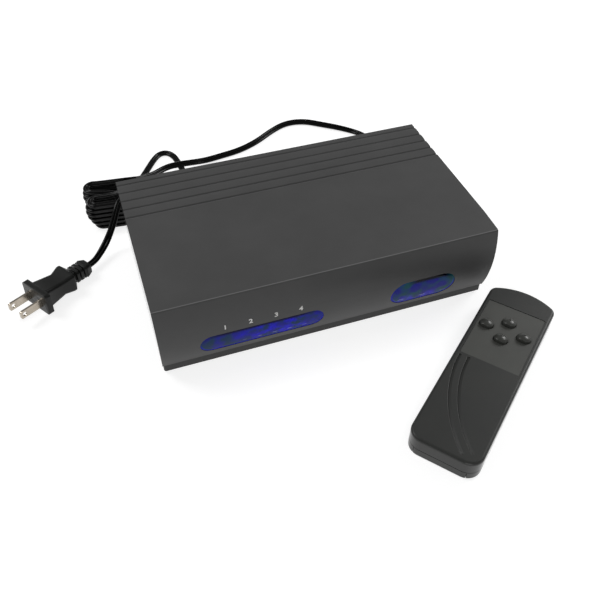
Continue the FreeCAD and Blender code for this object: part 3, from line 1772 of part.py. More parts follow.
save("remote_top_shell", remote_top_shell())
save("remote_bottom_shell", remote_bottom_shell())
save("battery_hatch", battery_hatch())
save("keypad_plate", keypad_plate())
for number, place in enumerate(button_places(), 1):
    save("remote_button_" + str(number), remote_button(place))
save("remote_board", remote_board())
save("remote_membrane", remote_membrane())
save("emitter_diode", emitter_diode())
save("battery_cells", battery_cells())
save("battery_contacts", battery_contacts())
save("remote_screws", remote_screws())
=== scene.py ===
import json
import math

import bmesh
import bpy
import numpy as np
from mathutils import Matrix, Vector

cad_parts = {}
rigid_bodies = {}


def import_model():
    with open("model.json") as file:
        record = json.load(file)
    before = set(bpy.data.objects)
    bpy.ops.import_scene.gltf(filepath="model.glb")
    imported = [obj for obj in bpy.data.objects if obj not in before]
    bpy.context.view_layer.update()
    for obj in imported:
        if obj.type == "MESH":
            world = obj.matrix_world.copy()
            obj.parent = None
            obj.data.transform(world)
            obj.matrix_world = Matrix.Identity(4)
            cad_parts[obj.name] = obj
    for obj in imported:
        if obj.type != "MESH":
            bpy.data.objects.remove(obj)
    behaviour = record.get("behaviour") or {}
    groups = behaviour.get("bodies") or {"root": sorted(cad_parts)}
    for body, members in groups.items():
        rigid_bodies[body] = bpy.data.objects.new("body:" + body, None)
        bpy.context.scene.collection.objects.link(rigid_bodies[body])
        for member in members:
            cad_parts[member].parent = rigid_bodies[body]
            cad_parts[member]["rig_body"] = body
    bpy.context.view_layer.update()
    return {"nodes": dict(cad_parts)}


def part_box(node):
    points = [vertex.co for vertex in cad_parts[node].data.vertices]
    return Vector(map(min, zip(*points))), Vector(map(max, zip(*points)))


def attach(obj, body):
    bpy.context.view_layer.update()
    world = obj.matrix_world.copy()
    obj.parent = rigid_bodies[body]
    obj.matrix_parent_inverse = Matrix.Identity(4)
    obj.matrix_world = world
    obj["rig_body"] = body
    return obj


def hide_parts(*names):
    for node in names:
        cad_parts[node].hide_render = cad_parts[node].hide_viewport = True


# Looks of a remote controlled audio and video selector, its mains lead and its handset.
# Metres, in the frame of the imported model: +X right, +Y to the rear, +Z up, the table at zero.

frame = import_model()
nodes = frame["nodes"]
MM = 0.001


# Camera at the photograph's viewpoint

view_place = (-0.12491, -0.35926, 0.36643)
view_azimuth = math.radians(-19.185)
view_elevation = math.radians(46.4818)
view_roll = math.radians(0.1735)
view_focal = 694.02 / 600.0


def make_camera():
    """The line of sight from its azimuth and elevation, then a small roll about it."""
    azimuth, elevation = view_azimuth, view_elevation
    back = np.array([math.sin(azimuth) * math.cos(elevation),
                     -math.cos(azimuth) * math.cos(elevation), math.sin(elevation)])
    level = np.cross(-back, (0, 0, 1))
    level /= np.linalg.norm(level)
    upright = np.cross(level, -back)
    right = level * math.cos(view_roll) + upright * math.sin(view_roll)
    up = upright * math.cos(view_roll) - level * math.sin(view_roll)
    data = bpy.data.cameras.new("view")
    data.lens = data.sensor_width * view_focal
    data.clip_start = 0.01
    camera = bpy.data.objects.new("view", data)
    rows = [[right[i], up[i], back[i], view_place[i]] for i in range(3)]
    camera.matrix_world = Matrix(rows + [[0, 0, 0, 1]])
    bpy.context.scene.collection.objects.link(camera)
    bpy.context.scene.camera = camera


make_camera()


# Mesh helpers

def mesh_object(name, vertices, faces, body, smooth=True):
    """A mesh piece from a point array and a list of faces, riding on a body."""
    mesh = bpy.data.meshes.new(name)
    mesh.from_pydata([tuple(v) for v in np.asarray(vertices, float).tolist()], [], faces)
    mesh.validate()
    mesh.polygons.foreach_set("use_smooth", [smooth] * len(mesh.polygons))
    piece = bpy.data.objects.new(name, mesh)
    bpy.context.scene.collection.objects.link(piece)
    if body:
        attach(piece, body)
    return piece


def tube_faces(rings, around, caps=True):
    """Quads between rings of points, each ring joined round, with a face over each end."""
    i, j = np.meshgrid(np.arange(rings - 1), np.arange(around), indexing="ij")
    k = (j + 1) % around
    quads = np.stack([i * around + j, i * around + k, (i + 1) * around + k, (i + 1) * around + j], -1)
    faces = quads.reshape(-1, 4).tolist()
    if caps:
        faces.append(list(range(around))[::-1])
        faces.append(list(range((rings - 1) * around, rings * around)))
    return faces


def merged_copy(node, name):
    """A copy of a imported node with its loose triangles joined, riding where the node rides."""
    source = nodes[node]
    mesh = source.data.copy()
    soup = bmesh.new()
    soup.from_mesh(mesh)
    bmesh.ops.remove_doubles(soup, verts=soup.verts, dist=0.002 * MM)
    bmesh.ops.dissolve_limit(soup, angle_limit=math.radians(0.4), verts=soup.verts, edges=soup.edges)
    soup.to_mesh(mesh)
    soup.free()
    mesh.materials.clear()
    piece = bpy.data.objects.new(name, mesh)
    bpy.context.scene.collection.objects.link(piece)
    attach(piece, source["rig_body"])
    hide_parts(node)
    return piece


def soften(piece, width, angle=30.0, segments=2):
    """Rounds the sharp edges by a width in millimetres and shades the rest smooth."""
    piece.data.polygons.foreach_set("use_smooth", [True] * len(piece.data.polygons))
    bevel = piece.modifiers.new("rounded edges", "BEVEL")
    bevel.width = width * MM
    bevel.segments = segments
    bevel.limit_method = "ANGLE"
    bevel.angle_limit = math.radians(angle)
    bevel.use_clamp_overlap = True
    bevel.harden_normals = True


# Mains lead: one flat twin flex from the case to the plug, with its spare length in a folded hank

flex_width = 5.4 * MM
flex_thickness = 2.8 * MM
flex_core = flex_thickness / 2
flex_waist = 0.5 * MM
flex_groove = math.radians(148.0)
lead_exit = (0.1, 0.0909, 0.02)
hank_fold = 5.4 * MM
hank_run = 33.0 * MM
hank_rest = 2.7 * MM
hank_layer = 4.15 * MM
hank_sway = 1.2 * MM
hank_sway_turn = 2.4
climb_start = -12.0 * MM
climb_end = 14.0 * MM
crossing_shift = 3.8 * MM
crossing_room = 1.8 * MM
crossing_end = 13.5 * MM
crossing_reach = 9.0 * MM
hank_start = -4.0 * MM
hank_end = 10.0 * MM
hank_last_step = 6.0 * MM
stray_start = 5.5 * MM
rear_pile = (-0.118, 0.1202, math.radians(-17.0))
front_pile = (-0.1166, 0.0995, math.radians(-6.0))
rear_reach = [0.0003, 0.0022, 0.0028, 0.0022, 0.0011]
front_reach = [-0.0011, 0.0012, 0.0029, 0.0034, 0.0029, 0.0009, 0.0002]
fold_steps = 4
flex_turn_places = np.array([0, 60, 110, 240, 300, 345]) * MM
flex_turn_places_before_end = np.array([80, 62, 34, 14, 0]) * MM
flex_turns = [0, -6, -42, -42, -30, -14, -14, -52, -60, 0, 0]

lead_route = [
    lead_exit,
    (0.1, 0.102, 0.02),
    (0.1035, 0.115, 0.017),
    (0.1095, 0.128, 0.011),
    (0.114, 0.142, 0.005),
    (0.11, 0.156, 0.002),
    (0.097, 0.1675, 0.0027),
    (0.083, 0.178, 0.0027),
    (0.0685, 0.189, 0.0027),
    (0.051, 0.191, 0.0027),
    (0.034, 0.1825, 0.0027),
    (0.017, 0.1705, 0.0027),
    (-0.002, 0.162, 0.0027),
    (-0.021, 0.159, 0.0027),
    (-0.034, 0.1565, 0.003),
    (-0.046, 0.1525, 0.0062),
    (-0.058, 0.15, 0.0088),
    (-0.071, 0.1468, 0.0108),
    (-0.084, 0.1372, 0.0124),
    (-0.095, 0.1289, 0.0166),
    (-0.1042, 0.1254, 0.0201),
]
stray_route = [
    (-0.09, 0.1066, 0.002),
    (-0.0785, 0.1064, 0.002),
    (-0.0678, 0.1102, 0.002),
    (-0.0605, 0.1185, 0.002),
    (-0.0575, 0.1295, 0.002),
    (-0.0568, 0.1415, 0.002),
    (-0.0576, 0.1535, 0.002),
    (-0.0588, 0.164, 0.002),
    (-0.0602, 0.173, 0.002),
    (-0.0646, 0.1806, 0.002),
    (-0.072, 0.1812, 0.002),
    (-0.0788, 0.1732, 0.002),
    (-0.0848, 0.1635, 0.002),
    (-0.091, 0.1535, 0.002),
    (-0.0977, 0.1436, 0.002),
    (-0.1038, 0.1342, 0.002),
    (-0.1093, 0.1286, 0.002),
    (-0.1142, 0.1252, 0.002),
]
tail_route = [
    (-0.1188, 0.0892, 0.0266),
    (-0.1228, 0.082, 0.022),
    (-0.1276, 0.075, 0.016),
    (-0.1345, 0.0665, 0.0098),
    (-0.142, 0.0575, 0.0066),
]
plug_place = (-0.1905, 0.0233)
plug_turn = math.radians(33.5)
plug_pitch = math.radians(3.9)
plug_flange_height = 17.8 * MM
plug_flange_thickness = 4.3 * MM
plug_length = 46.5 * MM
plug_slip = 0.1 * MM
plug_lead_in = 6.0 * MM


def pile_point(pile, u, v, z):
    """A place along a pile of loops, across it and above the table."""
    x, y, turn = pile
    return (x + u * math.cos(turn) - v * math.sin(turn), y + u * math.sin(turn) + v * math.cos(turn), z)


def layer_z(layer):
    """Height of a layer of loops: the lowest one's, and a step for each above it."""
    return hank_rest + hank_layer * layer


def right_end(layer):
    """Right end of a layer: half a run, and a sine of the layer, because loose loops differ in length."""
    return hank_run / 2 + hank_sway * math.sin(hank_sway_turn * layer)


def fold_points(pile, u, v, layer, outward, shift=0.0):
    """Corners of a polygon round a half circle, so that the smooth line touches the circle mid-side."""
    end = -v - shift if v > 0 else -v + shift
    middle, radius = (v + end) / 2, abs(v - end) / 2
    half_step = math.pi / fold_steps / 2
    side = 1 if v > middle else -1
    points = [pile_point(pile, u - outward * radius * math.tan(half_step), v, layer_z(layer))]
    for i in range(fold_steps):
        angle = half_step * (2 * i + 1)
        reach = radius / math.cos(half_step)
        points.append(pile_point(pile, u + outward * reach * math.sin(angle),
                                 middle + side * reach * math.cos(angle), layer_z(layer)))
    points.append(pile_point(pile, u - outward * radius * math.tan(half_step), end, layer_z(layer)))
    return points


def climb_points(pile, v, first, last):
    """Two corners that carry the line from one layer to the next along a run."""
    quarter = (climb_end - climb_start) / 4
    return [pile_point(pile, climb_start + quarter, v, layer_z(first)),
            pile_point(pile, climb_end - quarter, v, layer_z(last))]


def hank_points():
    """The rear pile winds down from its top, then the front pile winds up to its top."""
    rear_top, front_top = len(rear_reach) - 1, len(front_reach) - 1
    points = []
    for layer in range(rear_top, 0, -1):
        left = -hank_run / 2 - rear_reach[layer]
        points += fold_points(rear_pile, left, hank_fold, layer, -1)
        points += climb_points(rear_pile, -hank_fold, layer, layer - 1)
        if layer > 1:
            points += fold_points(rear_pile, right_end(layer - 1), -hank_fold, layer - 1, 1)
    points.append(pile_point(rear_pile, right_end(0) + stray_start, -hank_fold, layer_z(0)))
    points += stray_route
    points.append(pile_point(rear_pile, hank_start, hank_fold, layer_z(0)))
    left = -hank_run / 2 - rear_reach[0]
    points += fold_points(rear_pile, left, hank_fold, 0, -1, crossing_shift)
    points.append(pile_point(rear_pile, left + crossing_reach, -hank_fold - crossing_shift, layer_z(0)))
    points.append(pile_point(front_pile, crossing_end - crossing_reach, hank_fold + crossing_room,
                             layer_z(0)))
    for layer in range(front_top):
        left = -hank_run / 2 - front_reach[layer]
        room = crossing_room if layer == 0 else 0.0
        right = crossing_end if layer == 0 else right_end(layer)
        points += fold_points(front_pile, right, hank_fold + room, layer, 1, -room)
        points += fold_points(front_pile, left, -hank_fold, layer, -1)
        points += climb_points(front_pile, hank_fold, layer, layer + 1)
    points += fold_points(front_pile, right_end(front_top), hank_fold, front_top, 1)
    points.append(pile_point(front_pile, hank_end, -hank_fold, layer_z(front_top)))
    points.append(pile_point(front_pile, hank_end - hank_last_step, -hank_fold, layer_z(front_top)))
    return points


def plug_matrix():
    """Local +X runs from the blade face to the strain relief; the flange edge stands on the table."""
    height = (plug_flange_height / 2 * math.cos(plug_pitch) + plug_flange_thickness * math.sin(plug_pitch)
              + plug_slip)
    turn = Matrix.Rotation(plug_turn, 4, "Z") @ Matrix.Rotation(plug_pitch, 4, "Y")
    return Matrix.Translation((plug_place[0], plug_place[1], height)) @ turn


def route_curve(points):
    """The cord's smooth line: one open spline that has the route as its control points."""
    data = bpy.data.curves.new("mains_flex_route", "CURVE")
    data.dimensions = "3D"
    spline = data.splines.new("NURBS")
    spline.points.add(len(points) - 1)
    for point, place in zip(spline.points, points):
        point.co = (*place, 1.0)
    spline.order_u = 3
    spline.use_endpoint_u = True
    spline.resolution_u = 5
    curve = bpy.data.objects.new("mains_flex_route", data)
    bpy.context.scene.collection.objects.link(curve)
    mesh = bpy.data.meshes.new_from_object(curve)
    line = np.zeros(len(mesh.vertices) * 3)
    mesh.vertices.foreach_get("co", line)
    bpy.data.meshes.remove(mesh)
    bpy.data.objects.remove(curve)
    line = line.reshape(-1, 3)
    steps = np.linalg.norm(np.diff(line, axis=0), axis=1)
    return line[np.concatenate([[True], steps > 0.1 * MM])]


def flex_section():
    """Two round cores side by side with a groove between them, as arcs about two centres."""
    centre = flex_width / 2 - flex_core
    angles = np.linspace(-flex_groove, flex_groove, 13)
    right = np.stack([centre + flex_core * np.cos(angles), flex_core * np.sin(angles)], 1)
    left = -right
    return np.concatenate([right, [[0, flex_waist]], left, [[0, -flex_waist]]])


def swept(name, line, section, turns, body):
    """A section carried along a line; its width starts level and is turned about the line by an angle."""
    tangent = np.gradient(line, axis=0)
    tangent /= np.linalg.norm(tangent, axis=1)[:, None]
    level = np.cross(np.array([0.0, 0.0, 1.0]), tangent)
    level /= np.linalg.norm(level, axis=1)[:, None]
    upright = np.cross(tangent, level)
    turn = np.radians(turns)[:, None]
    across = level * np.cos(turn) + upright * np.sin(turn)
    over = upright * np.cos(turn) - level * np.sin(turn)
    wide = section[None, :, :1] * across[:, None, :]
    thick = section[None, :, 1:] * over[:, None, :]
    points = line[:, None, :] + wide + thick
    return mesh_object(name, points.reshape(-1, 3), tube_faces(len(line), len(section)), body)


def mains_flex():
    """The flat flex along its whole line, turned about it by angles read between places along its length."""
    place = plug_matrix()
    end = place @ Vector((plug_length, 0, 0))
    near = place @ Vector((plug_length + plug_lead_in, 0, 0))
    line = route_curve(lead_route + hank_points() + tail_route + [tuple(near), tuple(end)])
    travelled = np.concatenate([[0], np.cumsum(np.linalg.norm(np.diff(line, axis=0), axis=1))])
    length = travelled[-1]
    turn_places = [*flex_turn_places, *(length - flex_turn_places_before_end)]
    turns = np.interp(travelled, turn_places, flex_turns)
    flex = swept("mains_flex", line, flex_section(), turns, "selector")
    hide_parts("power_cord_lead", "cord_hank", "power_cord_tail")
    print("flex length", round(length, 4), "points", len(line))
    return flex


plug = merged_copy("plug_body", "moulded_plug")
soften(plug, 0.45)
flex = mains_flex()


# Colours and nodes

window_flange = 2.5 * MM
case_side = 117.5 * MM
crease_place = (-67.1 * MM, 60.2 * MM)
handset_top = 16.6 * MM


def linear(code):
    """Linear colour of an sRGB hex code."""
    parts = [int(code[i:i + 2], 16) / 255 for i in (0, 2, 4)]
    return tuple(p / 12.92 if p <= 0.04045 else ((p + 0.055) / 1.055) ** 2.4 for p in parts) + (1.0,)


MATH = "ShaderNodeMath"
VECTOR = "ShaderNodeVectorMath"
RANGE = "ShaderNodeMapRange"
MIX = "ShaderNodeMix"
NOISE = "ShaderNodeTexNoise"
SPLIT = "ShaderNodeSeparateXYZ"


def add(tree, kind, inputs=None, **settings):
    """Adds one node with its settings. An input is a value, a node's output, or a node for its first one."""
    node = tree.nodes.new(kind)
    for key, value in settings.items():
        setattr(node, key, value)
    for key, value in (inputs or {}).items():
        if isinstance(value, bpy.types.Node):
            value = value.outputs[0]
        if isinstance(value, bpy.types.NodeSocket):
            tree.links.new(value, node.inputs[key])
        else:
            node.inputs[key].default_value = value
    return node


def start(name):
    """A material with an empty shader and object coordinates."""
    material = bpy.data.materials.new(name)
    material.use_nodes = True
    tree = material.node_tree
    tree.nodes.clear()
    shader = add(tree, "ShaderNodeBsdfPrincipled")
    add(tree, "ShaderNodeOutputMaterial", {"Surface": shader.outputs[0]})
    place = add(tree, "ShaderNodeTexCoord").outputs["Object"]
    return material, tree, shader, place


def mottle(tree, place, dark, pale, size, detail=3.0):
    """Colour that drifts between two tones over a size in millimetres."""
    noise = add(tree, NOISE, {"Vector": place, "Scale": 1 / (size * MM), "Detail": detail})
    ramp = add(tree, RANGE, {"Value": noise, "From Min": 0.3, "From Max": 0.7})
    return add(tree, MIX, {0: ramp, 6: linear(dark), 7: linear(pale)}, data_type="RGBA").outputs[2]


def grain(tree, shader, place, size, depth, detail=2.0, stretch=(1, 1, 1)):
    """Bump of a given grain size and depth in millimetres; the pattern is handed on for the roughness."""
    scaled = add(tree, "ShaderNodeMapping", {"Vector": place, "Scale": stretch})
    noise = add(tree, NOISE, {"Vector": scaled, "Scale": 1 / (size * MM), "Detail": detail})
    bump = add(tree, "ShaderNodeBump", {"Height": noise, "Strength": 1.0, "Distance": depth * MM})
    tree.links.new(bump.outputs[0], shader.inputs["Normal"])
    return noise.outputs[0]


def spread(tree, shader, value, low, high):
    """Roughness between two limits, following a pattern."""
    ramp = add(tree, RANGE, {"Value": value, "To Min": low, "To Max": high})
    tree.links.new(ramp.outputs[0], shader.inputs["Roughness"])


def moulded(name, dark, pale, size, depth, low, high, ior=1.53, specular=0.5):
    """Moulded plastic or rubber: a tool's fine grain in the surface, and a tone that drifts a little."""
    material, tree, shader, place = start(name)
    tree.links.new(mottle(tree, place, dark, pale, 24), shader.inputs["Base Color"])
    spread(tree, shader, grain(tree, shader, place, size, depth), low, high)
    shader.inputs["IOR"].default_value = ior
    shader.inputs["Specular IOR Level"].default_value = specular
    return material


def shell_nodes(material):
    """The parts of a moulded material that a shell's own finish is added to."""
    tree = material.node_tree
    shader = next(n for n in tree.nodes if n.type == "BSDF_PRINCIPLED")
    place = next(n for n in tree.nodes if n.type == "TEX_COORD").outputs["Object"]
    colour = shader.inputs["Base Color"].links[0].from_socket
    rough = shader.inputs["Roughness"].links[0].from_socket
    return tree, shader, add(tree, SPLIT, {"Vector": place}), colour, rough


def case_abs(name, dark, pale, edge, low, high, wall, front):
    """Charcoal ABS, grained on top. The front, which starts below the crease, is a little smoother. The end
    walls, past the half width less 0.3 mm, are smooth, because the mould is polished there for the case to
    leave it. Along the crease is a painted highlight: a paler band 0.6 mm wide that stands in for light
    caught by the crease's edge."""
    material = moulded(name, dark, pale, 0.8, 0.020, low, high, 1.53, 0.3)
    tree, shader, split, colour, rough = shell_nodes(material)
    crease_y, crease_z = crease_place
    beside = add(tree, MATH, {0: split.outputs["X"]}, operation="ABSOLUTE")
    end = add(tree, MATH, {0: beside, 1: case_side - 0.3 * MM}, operation="GREATER_THAN")
    below = add(tree, MATH, {0: split.outputs["Z"], 1: crease_z}, operation="LESS_THAN")
    faced = add(tree, MIX, {0: below, 2: rough, 3: front})
    smooth = add(tree, MIX, {0: end, 2: faced, 3: wall})
    tree.links.new(smooth.outputs[0], shader.inputs["Roughness"])
    # Painted highlight: a paler band along the crease, above its height, in the edge colour.
    ahead = add(tree, MATH, {0: split.outputs["Y"], 1: -crease_y}, operation="ADD")
    off = add(tree, MATH, {0: ahead}, operation="ABSOLUTE")
    line = add(tree, RANGE, {"Value": off, "From Min": 0.32 * MM, "From Max": 0.1 * MM})
    above = add(tree, MATH, {0: split.outputs["Z"], 1: crease_z}, operation="GREATER_THAN")
    share = add(tree, MATH, {0: line, 1: above}, operation="MULTIPLY")
    crease_highlight = add(tree, MIX, {0: share, 6: colour, 7: linear(edge)}, data_type="RGBA")
    tree.links.new(crease_highlight.outputs[2], shader.inputs["Base Color"])
    return material


def handset_abs(name, dark, pale, low, high, wall):
    """Black ABS, grained on the flat top face and smooth below it, from the rounded rim down."""
    material = moulded(name, dark, pale, 0.7, 0.012, low, high, 1.53, 0.3)
    tree, shader, split, colour, rough = shell_nodes(material)
    rim = add(tree, RANGE, {"Value": split.outputs["Z"], "From Min": handset_top - 1.0 * MM,
                            "From Max": handset_top - 0.2 * MM})
    mixed = add(tree, MIX, {0: rim, 2: wall, 3: rough})
    tree.links.new(mixed.outputs[0], shader.inputs["Roughness"])
    return material


def plated(name, dark, pale, size, depth, low, high, stretch=(1, 1, 1)):
    """Plated or drawn metal: faint marks from its making, in one direction where it was drawn."""
    material, tree, shader, place = start(name)
    tree.links.new(mottle(tree, place, dark, pale, 6), shader.inputs["Base Color"])
    spread(tree, shader, grain(tree, shader, place, size, depth, 4.0, stretch), low, high)
    shader.inputs["Metallic"].default_value = 1.0
    return material


def glass_tube(name, colour):
    """Drawn glass: clear, colourless and smooth."""
    material, tree, shader, place = start(name)
    shader.inputs["Base Color"].default_value = linear(colour)
    shader.inputs["Roughness"].default_value = 0.02
    shader.inputs["Transmission Weight"].default_value = 1.0
    return material


def dyed_pane(name, node, colours, glow_place, glow_size, glint_streaks, lit, dark):
    """Cast acrylic dyed blue, clear and glossy. Its body drifts between two blues. Light and shade are
    painted on it: a painted glow inside an ellipsoid and along its lower rim, painted shade along its upper
    rim, and short pale streaks near its lower edge that are painted glints. Reach is the distance from the
    pane's middle line over the half height, so it is 1 at the edge. Rise is the height above the middle line
    over the half height."""
    material, tree, shader, place = start(name)
    body, patch, glow, rim = (linear(code) for code in colours)
    streak_rise, streak_start, streak_pitch = glint_streaks
    shade_place, shade_half = dark
    low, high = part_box(node)
    half = (high[2] - low[2]) / 2 - window_flange
    straight = (high[0] - low[0]) / 2 - window_flange - half
    middle = [(low[0] + high[0]) / 2, 0, (low[2] + high[2]) / 2]

    local = add(tree, VECTOR, {0: place, 1: middle}, operation="SUBTRACT")
    split = add(tree, SPLIT, {"Vector": local})
    across = add(tree, MATH, {0: split.outputs["X"]}, operation="ABSOLUTE")
    over = add(tree, MATH, {0: across, 1: straight}, operation="SUBTRACT")
    past = add(tree, MATH, {0: over, 1: 0.0}, operation="MAXIMUM")
    out = add(tree, "ShaderNodeCombineXYZ", {"X": past, "Y": split.outputs["Z"]})
    distance = add(tree, VECTOR, {0: out}, operation="LENGTH").outputs["Value"]
    reach = add(tree, MATH, {0: distance, 1: half}, operation="DIVIDE")
    rise = add(tree, MATH, {0: split.outputs["Z"], 1: half}, operation="DIVIDE")

    clouds = add(tree, NOISE, {"Vector": place, "Scale": 1 / (9 * MM), "Detail": 1.0})
    cloudy = add(tree, RANGE, {"Value": clouds, "From Min": 0.38, "From Max": 0.62})
    colour = add(tree, MIX, {0: cloudy, 6: body, 7: patch}, data_type="RGBA").outputs[2]

    # Painted glow: brighter blue in spots inside an ellipsoid, though nothing behind the pane is lit.
    away = add(tree, VECTOR, {0: place, 1: glow_place}, operation="SUBTRACT")
    shrunk = add(tree, VECTOR, {0: away, 1: [1 / size for size in glow_size]}, operation="MULTIPLY")
    far = add(tree, VECTOR, {0: shrunk}, operation="LENGTH").outputs["Value"]
    near = add(tree, RANGE, {"Value": far, "From Min": 1.0, "From Max": 0.45})
    spots = add(tree, NOISE, {"Vector": place, "Scale": 1 / (7 * MM), "Detail": 2.0})
    spotty = add(tree, RANGE, {"Value": spots, "From Min": 0.42, "From Max": 0.68})
    share = add(tree, MATH, {0: near, 1: spotty}, operation="MULTIPLY")
    colour = add(tree, MIX, {0: share, 6: colour, 7: glow}, data_type="RGBA").outputs[2]

    # Painted glow along the lower rim: a band near the edge, below the given rise, half mixed to the glow
    # blue.
    edge = add(tree, RANGE, {"Value": reach, "From Min": 0.84, "From Max": 0.90})
    lower = add(tree, RANGE, {"Value": rise, "From Min": lit[0], "From Max": lit[1]})
    ring = add(tree, MATH, {0: edge, 1: lower}, operation="MULTIPLY")
    share = add(tree, MATH, {0: ring, 1: 0.5}, operation="MULTIPLY")
    colour = add(tree, MIX, {0: share, 6: colour, 7: glow}, data_type="RGBA").outputs[2]

    # Painted shade along the upper rim: a near-black band near the edge, above the middle, fading out past
    # the half length from its place.
    edge = add(tree, RANGE, {"Value": reach, "From Min": 0.60, "From Max": 0.82})
    upper = add(tree, RANGE, {"Value": rise, "From Min": 0.05, "From Max": 0.45})
    band = add(tree, MATH, {0: edge, 1: upper}, operation="MULTIPLY")
    aside = add(tree, MATH, {0: split.outputs["X"], 1: shade_place}, operation="SUBTRACT")
    apart = add(tree, MATH, {0: aside, 1: shade_half}, operation="DIVIDE")
    apart = add(tree, MATH, {0: apart}, operation="ABSOLUTE")
    inside = add(tree, RANGE, {"Value": apart, "From Min": 1.0, "From Max": 0.6})
    share = add(tree, MATH, {0: band, 1: inside}, operation="MULTIPLY")
    colour = add(tree, MIX, {0: share, 6: colour, 7: rim}, data_type="RGBA").outputs[2]

    # Painted glints: short pale lilac streaks at a pitch along a line near the lower edge, only inside the
    # glow ellipsoid.
    off = add(tree, MATH, {0: rise, 1: streak_rise}, operation="SUBTRACT")
    off = add(tree, MATH, {0: off}, operation="ABSOLUTE")
    line = add(tree, RANGE, {"Value": off, "From Min": 0.06, "From Max": 0.02})
    step = add(tree, MATH, {0: split.outputs["X"], 1: streak_start}, operation="SUBTRACT")
    step = add(tree, MATH, {0: step, 1: streak_pitch}, operation="PINGPONG")
    glint_streak = add(tree, RANGE, {"Value": step, "From Min": 0.62 * streak_pitch,
                               "From Max": 0.85 * streak_pitch})
    glint_streak = add(tree, MATH, {0: line, 1: glint_streak}, operation="MULTIPLY")
    share = add(tree, MATH, {0: glint_streak, 1: near}, operation="MULTIPLY")
    colour = add(tree, MIX, {0: share, 6: colour, 7: linear("8c92e8")}, data_type="RGBA").outputs[2]
    tree.links.new(colour, shader.inputs["Base Color"])
    shader.inputs["Roughness"].default_value = 0.08
    shader.inputs["IOR"].default_value = 1.49
    shader.inputs["Specular IOR Level"].default_value = 0.06
    return material


def circuit_board(name):
    """Epoxy glass board under green solder resist, with copper tracks showing through as paler lines."""
    material, tree, shader, place = start(name)
    brick = add(tree, "ShaderNodeTexBrick", {"Vector": place, "Color1": linear("0f5a2c"),
                                             "Color2": linear("0d4f27"), "Mortar": linear("2a7d47"),
                                             "Scale": 1 / (8 * MM), "Mortar Size": 0.05,
                                             "Brick Width": 0.9, "Row Height": 0.33})
    tree.links.new(brick.outputs["Color"], shader.inputs["Base Color"])
    bump = add(tree, "ShaderNodeBump", {"Height": brick.outputs["Fac"], "Distance": 0.035 * MM})
    tree.links.new(bump.outputs[0], shader.inputs["Normal"])
    shader.inputs["Roughness"].default_value = 0.32
    return material


def laminated(name, dark, pale, pitch, axis):
    """Stacked sheets seen on edge: thin dark lines at the pitch of one sheet, from a wave whose scale is a
    turn per pitch."""
    material, tree, shader, place = start(name)
    wave = add(tree, "ShaderNodeTexWave", {"Vector": place, "Scale": 1 / (pitch * MM) / 3.1831},
               bands_direction=axis)
    mix = add(tree, MIX, {0: wave.outputs["Fac"], 6: linear(dark), 7: linear(pale)}, data_type="RGBA")
    tree.links.new(mix.outputs[2], shader.inputs["Base Color"])
    bump = add(tree, "ShaderNodeBump", {"Height": wave.outputs["Fac"], "Distance": 0.1 * MM})
    tree.links.new(bump.outputs[0], shader.inputs["Normal"])
    shader.inputs["Roughness"].default_value = 0.55
    return material


# ABS from a spark eroded mould: matt charcoal. The real grain is about 0.3 mm, drawn at 0.8 mm to show.
# Its fourth colour is the painted highlight along the crease.
case_plastic = case_abs("charcoal_abs", "404040", "444444", "6c6c6c", 0.58, 0.68, 0.08, 0.46)
# The tray is the cover's charcoal ABS drawn darker: painted shade for the inset strip below the cover. Its
# crease colour equals its pale tone, so it has no painted highlight.
shaded_tray_plastic = case_abs("charcoal_abs_shaded_tray", "303030", "343434", "343434", 0.50, 0.60, 0.20, 0.46)
handset_plastic = handset_abs("handset_abs", "292a29", "2d2e2c", 0.40, 0.50, 0.10)
# Polyester overlay with a matt printed back: greyer and smoother than the shell.
keypad_film = moulded("polyester_overlay", "3a3b38", "40413d", 0.6, 0.010, 0.50, 0.60, 1.6, 0.35)
# Silicone keys: satin, with an even skin.
key_rubber = moulded("silicone_rubber", "333431", "393a37", 0.5, 0.004, 0.26, 0.34, 1.41)
foot_rubber = moulded("foot_rubber", "141414", "1a1a1a", 0.6, 0.030, 0.70, 0.85)
dome_rubber = moulded("membrane_rubber", "6a6c68", "747672", 0.8, 0.010, 0.55, 0.65, 1.41)
# Plasticised vinyl: glossy where the die smoothed it, satin on the plug.
flex_vinyl = moulded("glossy_vinyl", "010101", "030303", 1.5, 0.008, 0.10, 0.18, 1.53, 0.16)
plug_vinyl = moulded("moulded_vinyl", "1b1c1b", "1f201f", 0.6, 0.010, 0.32, 0.44, 1.53, 0.2)
wire_vinyl = moulded("wire_vinyl", "141414", "1c1c1c", 1.0, 0.008, 0.30, 0.40)
tape_yellow = moulded("polyester_tape", "c99a1c", "d6aa2a", 2.0, 0.010, 0.25, 0.35)
nylon_black = moulded("black_nylon", "131314", "19191a", 0.6, 0.010, 0.35, 0.45)
nylon_red = moulded("red_nylon", "a8151a", "b51d20", 0.6, 0.008, 0.30, 0.40)
nylon_white = moulded("white_nylon", "d9d8d2", "e4e3de", 0.6, 0.008, 0.30, 0.40)
nylon_yellow = moulded("yellow_nylon", "d8a70f", "e2b41c", 0.6, 0.008, 0.30, 0.40)
chip_epoxy = moulded("moulded_epoxy", "1a1a1b", "212122", 0.5, 0.012, 0.50, 0.65)
sleeve_blue = moulded("shrunk_vinyl_sleeve", "101a4c", "16225a", 1.2, 0.006, 0.22, 0.32)
ribbon_grey = moulded("ribbon_vinyl", "8b8c8e", "989a9b", 1.0, 0.010, 0.40, 0.50)
foil_jacket = moulded("foil_jacket", "0f4d3c", "146250", 1.2, 0.004, 0.18, 0.28)
lamp_epoxy = moulded("lamp_epoxy", "a81a12", "bb2519", 1.0, 0.004, 0.10, 0.16)
infrared_epoxy = moulded("infrared_epoxy", "0e0d12", "15131a", 1.0, 0.004, 0.08, 0.14)
panel_coat = moulded("powder_coat", "17181a", "1e1f21", 0.9, 0.030, 0.45, 0.55)
